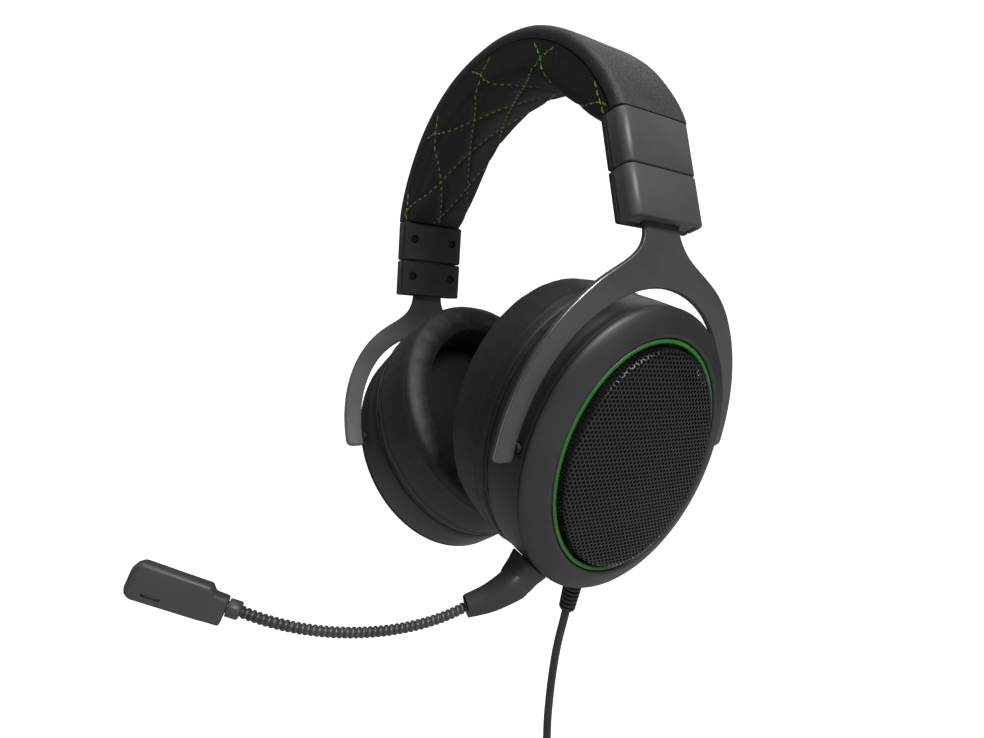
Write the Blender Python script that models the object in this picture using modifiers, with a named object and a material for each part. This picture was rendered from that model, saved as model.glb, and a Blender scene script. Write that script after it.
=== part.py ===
"""Wired gaming headset with a plug-in boom microphone.

Metres, +Z up.  The wearer looks along -Y and the wearer's left is +X.  The
origin is midway between the two ear cups, level with their centres.  Pieces of
the right side are the left side's pieces turned half a turn about Z.
"""

import math

import bmesh
import bpy
from mathutils import Matrix, Vector

# Overall sizes
BAND_RISE = 0.0547            # highest point of the band above its ends
HOUSING_LEAN = math.radians(8.2)
CUP_LEAN = math.radians(22.0)
CUP_HALF_DEPTH = 0.0445       # half of the cup's front-to-back size
CUP_HALF_HEIGHT = 0.0525      # half of the cup's top-to-bottom size
CUSHION_CORNER = -0.001964    # centre plane to where the cushion's lowest corner would be if square

# Gaps between pieces
GAP = 0.0003
SLIDE_GAP = 0.0004
PIN_GAP = 0.0001

# Headband section, measured inward from the outer surface
BAND_WIDTH = 0.033
SHOULDER_INSET = 0.0220       # the arch's flat ends this far short of its half width
END_STRAIGHT = 0.00704        # how straight the arch leaves its ends
COVER_THICKNESS = 0.0016
COVER_LIP_DEPTH = 0.0053
COVER_LIP_THICKNESS = 0.0018
FRAME_THICKNESS = 0.0012
FRAME_WIDTH = 0.026
PAD_MID_DEPTH = 0.0185
PAD_CROWN = 0.0016
PAD_RISE_LENGTH = 0.034       # length of band over which the pad reaches its full depth
BAND_STEPS = 11               # sections along half the band

# Housings, measured inward from the outer face
HOUSING_WIDTH = 0.033
HOUSING_THICKNESS = 0.0100
HOUSING_WALL = 0.0018
HOUSING_SIDE_WALL = 0.0024
PLATE_THICKNESS = 0.0028
UPPER_LENGTH = 0.0192
LOWER_LENGTH = 0.0175
HOUSING_FLOOR = 0.0020
BOSS_CLEARANCE = 0.0005       # between a screw boss and the yoke's neck
SCREW_HEAD_RADIUS = 0.0019
SCREW_HEAD_HEIGHT = 0.0012
SCREW_SHANK_RADIUS = 0.0009
SCREW_LENGTH = 0.0058
SCREW_SINK = 0.0006
BOSS_RADIUS = 0.0025

# Slider strip and yoke
STRIP_THICKNESS = 0.0016
STRIP_ABOVE_HOUSING = 0.0052
YOKE_THICKNESS = 0.0022
NECK_HALF_WIDTH = 0.0080
NECK_CLEARANCE = 0.0006       # between the neck and the housing's inner plate
NECK_IN_HOUSING = 0.0095
BEND_TANGENT = 0.0130         # how far the neck's bend reaches either side of its corner
BEND_BELOW_CROWN = 0.003912   # the bend's corner, down from the top of the yoke's crown
NECK_RISE = 0.014846          # from the bend's corner up to the housing
ARM_GAP = 0.0015              # between cup and arm
ARM_WIDTH = 0.0076
WINDOW_HEIGHT = 0.0044        # crescent window above the cup
CROWN_WIDTH = 0.0104
ARM_TIP_DROP = 0.0045         # arm tip below the pivot
FLARE_RISE = 0.0116           # from the yoke's crown up to where the flare meets the neck
FLARE_START = math.radians(63)

# Cup, measured outward from the cup's centre plane
YOKE_PLANE = 0.0170
PIVOT_HEIGHT = 0.0030
PIVOT_RADIUS = 0.0017
SHELL_INNER = 0.0016
SHELL_OUTER = 0.0206
SHELL_WALL = 0.0026
SHELL_FLANGE_WIDTH = 0.0070
SHELL_FLANGE_THICKNESS = 0.0014
BEZEL_SLOPE_WIDTH = 0.0096
BEZEL_RISE = 0.0055
BEZEL_THICKNESS = 0.0019
RING_WIDTH = 0.0015
RING_HEIGHT = 0.0024
RECESS_WIDTH = 0.0013         # dark gap between accent ring and grille
GRILLE_RISE = 0.0092
GRILLE_THICKNESS = 0.0009
DRIVER_RADIUS = 0.0250
DRIVER_DEPTH = 0.0085
BAFFLE_THICKNESS = 0.0020
SOUND_HOLE_RADIUS = 0.0190
CUSHION_DEPTH = 0.0265
CUSHION_WALL = 0.0146
OVAL_STEPS = 32

# Left cup's extras: angles run from the cup's rear towards its top
WHEEL_ANGLE = math.radians(-30)
WHEEL_RADIUS = 0.0080
WHEEL_THICKNESS = 0.0036
WHEEL_PROUD = 0.0012
BUTTON_ANGLE = math.radians(-58)
BUTTON_RADIUS = 0.0032
BUTTON_PROUD = 0.0017
BUTTON_LENGTH = 0.0062
CONTROL_DEPTH = 0.0105        # controls' middle, outward from the cup's centre plane
BOARD_SIZE = (0.0012, 0.0240, 0.0120)
CABLE_DEPTH = 0.0117          # cable's exit, outward from the cup's centre plane
RELIEF_LENGTH = 0.0165
RELIEF_TOP_RADIUS = 0.0037
RELIEF_END_RADIUS = 0.0029

# Microphone
MIC_ANGLE = math.radians(-123)
MIC_DEPTH = 0.0125
JACK_RADIUS = 0.00175
JACK_LENGTH = 0.0120
SOCKET_RADIUS = 0.0035
SOCKET_LENGTH = 0.0095
ELBOW_RADIUS = 0.0060
ELBOW_END_RADIUS = 0.0031
ELBOW_ROUTE = (               # from the socket: outward, round the cup, out of its face
    Vector((0.010246, -0.001300, 0.001030)), Vector((0.017966, -0.003826, -0.000459)),
    Vector((0.024253, -0.007198, -0.002398)),
)
GOOSENECK_RADIUS = 0.00175
GOOSENECK_START = Vector((0.025323, -0.007890, -0.002657))
GOOSENECK_PULL_A = Vector((0.043284, -0.016300, -0.004463))
GOOSENECK_PULL_B = Vector((0.062232, -0.038946, -0.011608))
GOOSENECK_END = Vector((0.067831, -0.063631, -0.021487))
BEND_LOW = 0.25               # places of the two bends along the gooseneck
BEND_HIGH = 0.75
BEND_LIMIT = math.radians(25)
CAPSULE_TIP = Vector((0.079274, -0.091397, -0.036611))
COLLAR_LENGTH = 0.0036
COLLAR_RADIUS = 0.0026
NECK_PIECE_LENGTH = 0.0052
CAPSULE_SIZE = (0.0062, 0.0112)   # thickness and height

# Cable: 1.8 m in all, 3.2 mm thick
CORD_RADIUS = 0.0016
LEAD_ROUTE = (                # measured from the strain relief's end
    (0.0, 0.0, 0.0), (-0.002188, 0.0, -0.005563), (-0.005388, 0.0, -0.013563),
    (-0.007888, 0.0, -0.021363), (-0.010088, 0.0, -0.029863), (-0.011788, 0.0, -0.037863),
    (-0.013188, 0.0, -0.045863), (-0.013900, 0.0, -0.053363), (-0.014450, 0.0, -0.061363),
    (-0.014800, -0.0010, -0.070000), (-0.015000, -0.0034, -0.077500), (-0.015088, -0.004875, -0.083500),
)
COIL_TURNS_DEEP = 4
COIL_PITCH = 0.00325
COIL_MEAN_RADIUS = 0.0170
COIL_DROP = 0.0132            # from the lead's end down to the coil's centre
TAIL_LENGTH = 0.0140
TIE_WIDTH = 0.0060
TIE_THICKNESS = 0.0008
PLUG_RADIUS = 0.0037
PLUG_LENGTH = 0.0220
PLUG_PIN_RADIUS = 0.00175
PLUG_PIN_LENGTH = 0.0140

# Values that follow from the sizes above
LEFT = Matrix.Identity(4)
RIGHT = Matrix.Rotation(math.pi, 4, "Z")
SIDES = (("left", LEFT), ("right", RIGHT))
SCREW_OFFSET = NECK_HALF_WIDTH + BOSS_RADIUS + BOSS_CLEARANCE
CUSHION_BACK = SHELL_INNER - 2 * GAP - BAFFLE_THICKNESS
CUSHION_FACE = CUSHION_BACK - CUSHION_DEPTH
CUP_CENTRE_X = (CUSHION_CORNER - CUSHION_FACE * math.cos(CUP_LEAN)
                + CUP_HALF_HEIGHT * math.sin(CUP_LEAN))
UP_HOUSING = Vector((-math.sin(HOUSING_LEAN), 0, math.cos(HOUSING_LEAN)))
OUT_HOUSING = Vector((math.cos(HOUSING_LEAN), 0, math.sin(HOUSING_LEAN)))
HOUSING_LENGTH = UPPER_LENGTH + LOWER_LENGTH + SLIDE_GAP
PAD_END_DEPTH = HOUSING_THICKNESS
NECK_DEPTH = HOUSING_THICKNESS - PLATE_THICKNESS - NECK_CLEARANCE - YOKE_THICKNESS / 2
CUP_FRAME = Matrix.Translation((CUP_CENTRE_X, 0, 0)) @ Matrix.Rotation(CUP_LEAN, 4, "Y")
PIVOT = CUP_FRAME @ Vector((YOKE_PLANE, 0, PIVOT_HEIGHT))
BEND_HEIGHT = CUP_HALF_HEIGHT + WINDOW_HEIGHT + CROWN_WIDTH - BEND_BELOW_CROWN
BEND_CORNER = CUP_FRAME @ Vector((YOKE_PLANE, 0, BEND_HEIGHT))
HOUSING_BASE = BEND_CORNER + UP_HOUSING * NECK_RISE + OUT_HOUSING * NECK_DEPTH
HOUSING_FRAME = Matrix.Translation(HOUSING_BASE) @ Matrix.Rotation(-HOUSING_LEAN, 4, "Y")
BAND_END = HOUSING_BASE + UP_HOUSING * (HOUSING_LENGTH + GAP)
BAND_TOP = BAND_END.z + BAND_RISE
COIL_OUTER_TURN = COIL_MEAN_RADIUS + (COIL_TURNS_DEEP - 1) / 2 * COIL_PITCH
COIL_HALF_SECTION = COIL_TURNS_DEEP / 2 * COIL_PITCH


# Scene and placing

def clear_scene():
    for obj in list(bpy.data.objects):
        bpy.data.objects.remove(obj, do_unlink=True)


def new_collection(name):
    collection = bpy.data.collections.new(name)
    bpy.context.scene.collection.children.link(collection)
    return collection


def material(name, colour, roughness, metallic=0.0):
    mat = bpy.data.materials.new(name)
    mat.use_nodes = True
    shader = mat.node_tree.nodes["Principled BSDF"]
    shader.inputs["Base Color"].default_value = (*colour, 1)
    shader.inputs["Roughness"].default_value = roughness
    shader.inputs["Metallic"].default_value = metallic
    return mat


clear_scene()
HEADSET = new_collection("gaming_headset")
CUTTERS = new_collection("cutters")
SHELL_PLASTIC = material("shell_plastic", (0.030, 0.030, 0.032), 0.55)
DARK_PLASTIC = material("dark_plastic", (0.012, 0.012, 0.012), 0.5)
LEATHERETTE = material("leatherette", (0.020, 0.020, 0.021), 0.62)
PAINTED_METAL = material("painted_metal", (0.045, 0.045, 0.047), 0.42, 0.6)
STEEL = material("steel", (0.45, 0.45, 0.46), 0.3, 1.0)
GREEN_PLASTIC = material("green_plastic", (0.03, 0.22, 0.04), 0.45)
RUBBER = material("rubber", (0.015, 0.015, 0.015), 0.7)
BOARD_GREEN = material("board_green", (0.02, 0.10, 0.05), 0.5)


def empty(name, matrix):
    """An empty on a joint's axis, which carries the pieces of one moving body."""
    obj = bpy.data.objects.new(name, None)
    obj.empty_display_size = 0.01
    HEADSET.objects.link(obj)
    obj.matrix_world = matrix
    return obj


def front_sign(side_name):
    """Which way the front lies along a side's own Y: the right side is turned half a turn."""
    return -1 if side_name == "left" else 1


def place(obj, matrix, parent=None):
    """Put an object at a world matrix under its parent empty."""
    if parent is not None:
        obj.parent = parent
        obj.matrix_parent_inverse = parent.matrix_world.inverted()
    obj.matrix_basis = matrix
    return obj


def mesh_object(name, build, mat=None, collection=None):
    """A named object whose mesh is filled in by a function that takes a bmesh."""
    mesh = bpy.data.meshes.new(name)
    shape = bmesh.new()
    build(shape)
    bmesh.ops.recalc_face_normals(shape, faces=shape.faces)
    shape.to_mesh(mesh)
    shape.free()
    return finish_mesh(name, mesh, mat, collection)


def finish_mesh(name, mesh, mat, collection=None):
    if mat is not None:
        mesh.materials.append(mat)
    mesh.shade_smooth()
    mesh.set_sharp_from_angle(angle=math.radians(35))
    obj = bpy.data.objects.new(name, mesh)
    (collection or HEADSET).objects.link(obj)
    return obj


def curve_to_mesh(curve_object, name, mat, collection=None):
    """Make a closed mesh object from a curve and remove the curve."""
    evaluated = curve_object.evaluated_get(bpy.context.evaluated_depsgraph_get())
    mesh = bpy.data.meshes.new_from_object(evaluated)
    mesh.name = name
    shape = bmesh.new()
    shape.from_mesh(mesh)
    bmesh.ops.remove_doubles(shape, verts=shape.verts, dist=1e-6)
    bmesh.ops.recalc_face_normals(shape, faces=shape.faces)
    shape.to_mesh(mesh)
    shape.free()
    mesh.materials.clear()
    bpy.data.objects.remove(curve_object, do_unlink=True)
    return finish_mesh(name, mesh, mat, collection)


def cut(target, cutter, operation="DIFFERENCE"):
    """Boolean a hidden cutter into a piece; the cutter follows the piece's place."""
    cutter.display_type = "WIRE"
    cutter.hide_render = True
    modifier = target.modifiers.new(cutter.name, "BOOLEAN")
    modifier.operation = operation
    modifier.object = cutter


# Shapes

def box(name, low, high, mat=None, bevel=0.0, collection=None, segments=1):
    """A box between two corners, with its edges rounded."""
    low, high = Vector(low), Vector(high)

    def build(shape):
        bmesh.ops.create_cube(shape, size=1.0)
        size = high - low
        bmesh.ops.scale(shape, vec=size, verts=shape.verts)
        bmesh.ops.translate(shape, vec=(low + high) / 2, verts=shape.verts)

    obj = mesh_object(name, build, mat, collection)
    if bevel > 0:
        modifier = obj.modifiers.new("rounded_edges", "BEVEL")
        modifier.width = bevel
        modifier.segments = segments
        modifier.limit_method = "ANGLE"
    return obj


def cylinder(name, radius, start, end, mat=None, collection=None, sides=12):
    """A cylinder between two points."""
    start, end = Vector(start), Vector(end)
    axis = end - start
    turn = axis.to_track_quat("Z", "Y").to_matrix().to_4x4()

    def build(shape):
        bmesh.ops.create_cone(shape, cap_ends=True, segments=sides, radius1=radius,
                              radius2=radius, depth=axis.length,
                              matrix=Matrix.Translation((start + end) / 2) @ turn)

    return mesh_object(name, build, mat, collection)


def turned(name, profile, mat, steps=24, start=(0, 0, 0), direction=(0, 0, 1), stretch=(1, 1),
           close=False, collection=None):
    """A turned piece: (radius, height) points from the top down the outer side.

    The height runs along direction from start, and stretch makes the round oval.
    """
    mesh = bpy.data.meshes.new(name)
    shape = bmesh.new()
    points = [shape.verts.new((radius, 0, height)) for radius, height in profile]
    for first, second in zip(points, points[1:]):
        shape.edges.new((first, second))
    if close:
        shape.edges.new((points[-1], points[0]))
    shape.to_mesh(mesh)
    shape.free()
    obj = bpy.data.objects.new(name, mesh)
    HEADSET.objects.link(obj)
    screw = obj.modifiers.new("turn", "SCREW")
    screw.steps = steps
    screw.render_steps = steps
    screw.use_merge_vertices = True
    screw.merge_threshold = 1e-5
    made = curve_to_mesh(obj, name, mat, collection)
    turn = Vector(direction).to_track_quat("Z", "Y").to_matrix().to_4x4()
    made.data.transform(Matrix.Translation(start) @ turn @ Matrix.Diagonal((*stretch, 1, 1)))
    return made


def tube(name, points, radius, mat, radii=None, resolution=2, collection=None):
    """A round tube with flat ends along a list of points."""
    curve = bpy.data.curves.new(name, "CURVE")
    curve.dimensions = "3D"
    curve.bevel_depth = radius
    curve.bevel_resolution = resolution
    curve.render_resolution_u = 0
    curve.use_fill_caps = True
    spline = curve.splines.new("POLY")
    spline.points.add(len(points) - 1)
    for index, point in enumerate(points):
        spline.points[index].co = (*point, 1)
        if radii:
            spline.points[index].radius = radii[index] / radius
    obj = bpy.data.objects.new(name, curve)
    HEADSET.objects.link(obj)
    return curve_to_mesh(obj, name, mat, collection)


def flat_outline(name, outline, thickness, mat, collection=None):
    """A flat plate in the XY plane from its outline."""
    curve = bpy.data.curves.new(name, "CURVE")
    curve.dimensions = "2D"
    curve.fill_mode = "BOTH"
    curve.extrude = thickness / 2
    curve.render_resolution_u = 0
    spline = curve.splines.new("POLY")
    spline.points.add(len(outline) - 1)
    for index, point in enumerate(outline):
        spline.points[index].co = (point[0], point[1], 0, 1)
    spline.use_cyclic_u = True
    obj = bpy.data.objects.new(name, curve)
    HEADSET.objects.link(obj)
    return curve_to_mesh(obj, name, mat, collection)


def loft(name, sections, mat, closed_path=False, collection=None):
    """Skin equal-length closed sections, given as lists of points, into one body."""

    def build(shape):
        rows = [[shape.verts.new(point) for point in section] for section in sections]
        count = len(rows[0])
        pairs = list(zip(rows, rows[1:]))
        if closed_path:
            pairs.append((rows[-1], rows[0]))
        for row, following in pairs:
            for index in range(count):
                after = (index + 1) % count
                shape.faces.new((row[index], row[after], following[after], following[index]))
        if not closed_path:
            shape.faces.new(rows[0])
            shape.faces.new(list(reversed(rows[-1])))

    return mesh_object(name, build, mat, collection)


# Ovals: the cup's outline and everything that follows it

def oval_point(angle, outset=0.0):
    """Point on the cup's oval, pushed outward along its normal, as (front-back, up)."""
    point = Vector((CUP_HALF_DEPTH * math.cos(angle), CUP_HALF_HEIGHT * math.sin(angle)))
    return point + oval_normal(angle) * outset


def oval_normal(angle):
    return Vector((math.cos(angle) / CUP_HALF_DEPTH, math.sin(angle) / CUP_HALF_HEIGHT)).normalized()


def oval_ring(name, profile, mat, collection=None, steps=OVAL_STEPS):
    """A closed profile of (outset, depth) points carried round the cup's oval."""
    sections = []
    for step in range(steps):
        angle = math.tau * step / steps
        section = []
        for outset, depth in profile:
            point = oval_point(angle, outset)
            section.append((depth, point.x, point.y))
        sections.append(section)
    return loft(name, sections, mat, closed_path=True, collection=collection)


def oval_disc(name, outset, low, high, mat, collection=None, steps=OVAL_STEPS):
    """A flat oval plate between two depths."""
    sections = []
    for depth in (low, high):
        points = [oval_point(math.tau * step / steps, outset) for step in range(steps)]
        sections.append([(depth, point.x, point.y) for point in points])
    return loft(name, sections, mat, collection=collection)


# Headband

def band_curve(share):
    """Point and inward normal of the band's outer surface; share runs 0 to 1, right to left."""
    side = 1 if share >= 0.5 else -1
    along = abs(share - 0.5) * 2
    end = Vector((BAND_END.x, BAND_END.z))
    rise = Vector((UP_HOUSING.x, UP_HOUSING.z))
    start, pull_a = Vector((0, BAND_TOP)), Vector((BAND_END.x - SHOULDER_INSET, BAND_TOP))
    pull_b = end + rise * END_STRAIGHT
    rest = 1 - along
    point = (start * rest**3 + pull_a * 3 * rest**2 * along
             + pull_b * 3 * rest * along**2 + end * along**3)
    slope = ((pull_a - start) * rest**2 + (pull_b - pull_a) * 2 * rest * along
             + (end - pull_b) * along**2)
    normal = Vector((slope.y, -slope.x)).normalized()
    return Vector((point.x * side, 0, point.y)), Vector((normal.x * side, 0, normal.y))


def band_shares():
    """Even steps in share, closer together towards the housings where the band bends most."""
    half = [(step / BAND_STEPS) ** 0.9 / 2 for step in range(BAND_STEPS + 1)]
    return [0.5 - value for value in reversed(half)] + [0.5 + value for value in half[1:]]


def pad_depth(share):
    """Depth of the pad's underside below the outer surface."""
    end = 0.0 if share < 0.5 else 1.0
    distance = (band_curve(share)[0] - band_curve(end)[0]).length
    part = min(distance / PAD_RISE_LENGTH, 1.0)
    return PAD_END_DEPTH + (PAD_MID_DEPTH - PAD_END_DEPTH) * (1 - (1 - part) ** 2)


def band_sweep(name, profile_at, mat):
    """Carry a section of (width, depth) points along the band."""
    sections = []
    for share in band_shares():
        point, normal = band_curve(share)
        sections.append([point + normal * depth + Vector((0, width, 0))
                         for width, depth in profile_at(share)])
    return loft(name, sections, mat)


def cover_profile(share):
    """A channel: the outer skin and the two lips that wrap its front and rear edges."""
    half, lip, skin = BAND_WIDTH / 2, COVER_LIP_THICKNESS, COVER_THICKNESS
    depth, curve = COVER_LIP_DEPTH, 0.0014
    outer = [(-half, depth), (-half, curve), (-half + curve * 0.3, curve * 0.3), (-half + curve, 0)]
    inner = [(-half + lip, skin), (-half + lip, depth)]
    mirrored = [(-width, place_depth) for width, place_depth in reversed(outer)]
    inner_mirrored = [(-width, place_depth) for width, place_depth in reversed(inner)]
    return outer + mirrored + inner_mirrored + inner


def frame_profile(share):
    half = FRAME_WIDTH / 2
    top = COVER_THICKNESS + GAP
    bottom = top + FRAME_THICKNESS
    return [(-half, top), (half, top), (half, bottom), (-half, bottom)]


def pad_profile(share):
    """A crowned pad with a groove in its top for the slider strip."""
    half = BAND_WIDTH / 2 - 0.0004
    tongue = BAND_WIDTH / 2 - COVER_LIP_THICKNESS - GAP
    top = COVER_THICKNESS + FRAME_THICKNESS + 2 * GAP
    lip = COVER_LIP_DEPTH + GAP
    groove = NECK_HALF_WIDTH + 0.0008
    groove_depth = NECK_DEPTH + STRIP_THICKNESS / 2 + 2 * GAP
    low = pad_depth(share)
    left = [(-groove, groove_depth), (-groove, top), (-tongue, top), (-tongue, lip), (-half, lip),
            (-half, (lip + low) / 2), (-half * 0.86, low - 0.0008), (-half * 0.5, low + PAD_CROWN * 0.6)]
    right = [(-width, depth) for width, depth in reversed(left)]
    return left + [(0, low + PAD_CROWN)] + right


def headband():
    band_sweep("headband_cover", cover_profile, LEATHERETTE)
    band_sweep("headband_frame", frame_profile, STEEL)
    band_sweep("headband_pad", pad_profile, LEATHERETTE)


# Housings: x is outward from the outer face, y front to back, z up from the lower end

def housing_shell(name, low, high, frame, parent):
    """Outer shell: a channel open to the inside, with two screw bosses."""
    half = HOUSING_WIDTH / 2
    split = -(HOUSING_THICKNESS - PLATE_THICKNESS - GAP)
    shell = box(name, (split, -half, low), (0, half, high), SHELL_PLASTIC, 0.0009)
    place(shell, frame, parent)
    floor = low + HOUSING_FLOOR if low == 0 else low - 0.001
    side = half - HOUSING_SIDE_WALL
    cavity = box(name + "_cavity", (split - 0.001, -side, floor), (-HOUSING_WALL, side, high + 0.001),
                 collection=CUTTERS)
    cut(shell, place(cavity, frame, parent))
    middle = screw_height(low, high)
    for index, offset in enumerate((-SCREW_OFFSET, SCREW_OFFSET)):
        boss = cylinder(f"{name}_boss_{index}", BOSS_RADIUS, (split, offset, middle),
                        (-HOUSING_WALL / 2, offset, middle), collection=CUTTERS)
        cut(shell, place(boss, frame, parent), "UNION")
    for index, offset in enumerate((-SCREW_OFFSET, SCREW_OFFSET)):
        bore = cylinder(f"{name}_bore_{index}", SCREW_SHANK_RADIUS + PIN_GAP,
                        (split - 0.001, offset, middle), (-HOUSING_WALL, offset, middle),
                        collection=CUTTERS)
        cut(shell, place(bore, frame, parent))
    if low == 0:
        cut(shell, place(neck_slot(name), frame, parent))
    return shell


def neck_slot(name):
    """The slot in the lower housing's floor that the yoke's neck passes through."""
    half = NECK_HALF_WIDTH + SLIDE_GAP
    reach = YOKE_THICKNESS / 2 + SLIDE_GAP
    return box(name + "_slot", (-NECK_DEPTH - reach, -half, -0.001),
               (-NECK_DEPTH + reach, half, HOUSING_FLOOR + 0.001), collection=CUTTERS)


def screw_height(low, high):
    return (low + high) / 2 + 0.001


def housing_plate(name, low, high, frame, parent):
    """Inner cover plate with two sunk screw holes."""
    half = HOUSING_WIDTH / 2
    outer = -(HOUSING_THICKNESS - PLATE_THICKNESS)
    plate = box(name, (-HOUSING_THICKNESS, -half, low), (outer, half, high), SHELL_PLASTIC, 0.0007)
    place(plate, frame, parent)
    middle = screw_height(low, high)
    sink = SCREW_HEAD_HEIGHT + SCREW_SINK + PIN_GAP
    for index, offset in enumerate((-SCREW_OFFSET, SCREW_OFFSET)):
        for part, radius, depth in (("head", SCREW_HEAD_RADIUS + 0.0002, sink),
                                    ("shank", SCREW_SHANK_RADIUS + 0.0002, PLATE_THICKNESS + 0.001)):
            hole = cylinder(f"{name}_{part}_{index}", radius,
                            (-HOUSING_THICKNESS - 0.001, offset, middle),
                            (-HOUSING_THICKNESS + depth, offset, middle), collection=CUTTERS)
            cut(plate, place(hole, frame, parent))
    return plate


def housing_screw(name, offset, low, high, frame, parent):
    head, shank = SCREW_HEAD_RADIUS, SCREW_SHANK_RADIUS
    profile = [(0, 0), (head * 0.8, 0), (head, -0.0003), (head, -SCREW_HEAD_HEIGHT),
               (shank, -SCREW_HEAD_HEIGHT), (shank, -SCREW_LENGTH + 0.0005), (0, -SCREW_LENGTH)]
    start = (-HOUSING_THICKNESS + SCREW_SINK, offset, screw_height(low, high))
    screw = turned(name, profile, STEEL, steps=12, start=start, direction=(-1, 0, 0))
    return place(screw, frame, parent)


def housing(level, side_name, low, high, frame, parent):
    housing_shell(f"{level}_housing_shell_{side_name}", low, high, frame, parent)
    housing_plate(f"{level}_housing_plate_{side_name}", low, high, frame, parent)
    front = front_sign(side_name)
    for where, sign in (("front", front), ("rear", -front)):
        name = f"{level}_screw_{where}_{side_name}"
        housing_screw(name, sign * SCREW_OFFSET, low, high, frame, parent)


def slider_strip(side_name, frame, parent):
    """Flat steel strip from the lower housing up into the band."""
    half, reach = NECK_HALF_WIDTH, STRIP_THICKNESS / 2
    strip = box(f"slider_strip_{side_name}",
                (-NECK_DEPTH - reach, -half, HOUSING_FLOOR + NECK_IN_HOUSING + GAP),
                (-NECK_DEPTH + reach, half, HOUSING_LENGTH + STRIP_ABOVE_HOUSING), STEEL, 0.0004)
    place(strip, frame, parent)


# Yoke: drawn flat as (front-back, height) and bent at its neck

def yoke_inner(angle):
    return Vector(((CUP_HALF_DEPTH + ARM_GAP) * math.cos(angle),
                   (CUP_HALF_HEIGHT + WINDOW_HEIGHT) * math.sin(angle)))


def yoke_outer(angle):
    return Vector(((CUP_HALF_DEPTH + ARM_GAP + ARM_WIDTH) * math.cos(angle),
                   (CUP_HALF_HEIGHT + WINDOW_HEIGHT + CROWN_WIDTH) * math.sin(angle)))


def yoke_outline(neck_top):
    """Rear half of the yoke's outline, mirrored for the front half."""
    tip = PIVOT_HEIGHT - ARM_TIP_DROP
    steps = 10
    inner = [yoke_inner(math.radians(90) * (1 - step / steps)) for step in range(steps)]
    inner.append(Vector((yoke_inner(0).x, tip)))
    outer = [Vector((yoke_outer(0).x - 0.0012, tip)), Vector((yoke_outer(0).x, tip + 0.0012))]
    outer += [yoke_outer(FLARE_START * step / 8) for step in range(1, 9)]
    start, corner = outer[-1], Vector((NECK_HALF_WIDTH, yoke_outer(math.radians(90)).y + FLARE_RISE))
    leave = (yoke_outer(FLARE_START + 0.01) - start).normalized() * (corner - start).length * 0.5
    arrive = Vector((0, -0.42)) * (corner - start).length
    flare = []
    for step in range(1, 7):
        along = step / 6
        rest = 1 - along
        flare.append(start * rest**3 + (start + leave) * 3 * rest**2 * along
                     + (corner + arrive) * 3 * rest * along**2 + corner * along**3)
    half = inner[1:] + outer + flare + [Vector((NECK_HALF_WIDTH, neck_top))]
    mirrored = [Vector((-point.x, point.y)) for point in reversed(half)]
    return [inner[0]] + half + mirrored


def yoke_bend():
    """The fork's zero height and direction, and the bend's turn and radius."""
    fork = Vector((math.sin(CUP_LEAN), 0, math.cos(CUP_LEAN)))
    fork_start = PIVOT - fork * PIVOT_HEIGHT
    turn = CUP_LEAN + HOUSING_LEAN
    radius = BEND_TANGENT / math.tan(turn / 2)
    return fork_start, fork, turn, radius


def bend_point(height, offset):
    """World place, at y 0, of a point of the flat yoke; offset is towards the outside."""
    fork_start, fork, turn, radius = yoke_bend()
    outward = Vector((fork.z, 0, -fork.x))
    start = BEND_HEIGHT - BEND_TANGENT
    angle = min(max((height - start) / radius, 0), turn)
    base = fork_start + fork * min(height, start)
    base -= outward * radius * (1 - math.cos(angle))
    base += fork * radius * math.sin(angle)
    ahead = fork * math.cos(angle) - outward * math.sin(angle)
    out = outward * math.cos(angle) + fork * math.sin(angle)
    return base + ahead * max(height - start - radius * turn, 0) + out * offset


def neck_height(above_housing_base):
    """Height on the flat yoke of a point of the neck inside the housing."""
    _, _, turn, radius = yoke_bend()
    return BEND_HEIGHT - 2 * BEND_TANGENT + radius * turn + NECK_RISE + above_housing_base


def yoke(side_name, side, parent):
    outline = yoke_outline(neck_height(HOUSING_FLOOR + NECK_IN_HOUSING))
    plate = flat_outline(f"yoke_{side_name}", outline, YOKE_THICKNESS, PAINTED_METAL)
    _, _, turn, radius = yoke_bend()
    shape = bmesh.new()
    shape.from_mesh(plate.data)
    bends = 7
    for step in range(bends + 1):
        height = BEND_HEIGHT - BEND_TANGENT + radius * turn * step / bends
        bmesh.ops.bisect_plane(shape, geom=shape.verts[:] + shape.edges[:] + shape.faces[:],
                               plane_co=(0, height, 0), plane_no=(0, 1, 0), dist=1e-7)
    for vert in shape.verts:
        width, height, offset = vert.co
        point = bend_point(height, offset)
        vert.co = (point.x, width, point.z)
    bmesh.ops.recalc_face_normals(shape, faces=shape.faces)
    shape.to_mesh(plate.data)
    shape.free()
    place(plate, side, parent)


def pivot_pins(side_name, side, parent):
    """Studs on the arm tips that the cup turns on."""
    inner_end = CUP_HALF_DEPTH - SHELL_WALL - 0.0008
    outer_end = yoke_inner(math.asin(PIVOT_HEIGHT / (CUP_HALF_HEIGHT + WINDOW_HEIGHT))).x - GAP
    front = front_sign(side_name)
    for where, sign in (("front", front), ("rear", -front)):
        pin = cylinder(f"pivot_pin_{where}_{side_name}", PIVOT_RADIUS,
                       (YOKE_PLANE, sign * inner_end, PIVOT_HEIGHT),
                       (YOKE_PLANE, sign * outer_end, PIVOT_HEIGHT), PAINTED_METAL)
        place(pin, side @ CUP_FRAME, parent)


# Cup: x is outward from the cup's centre plane, y front to back, z up its face

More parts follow.
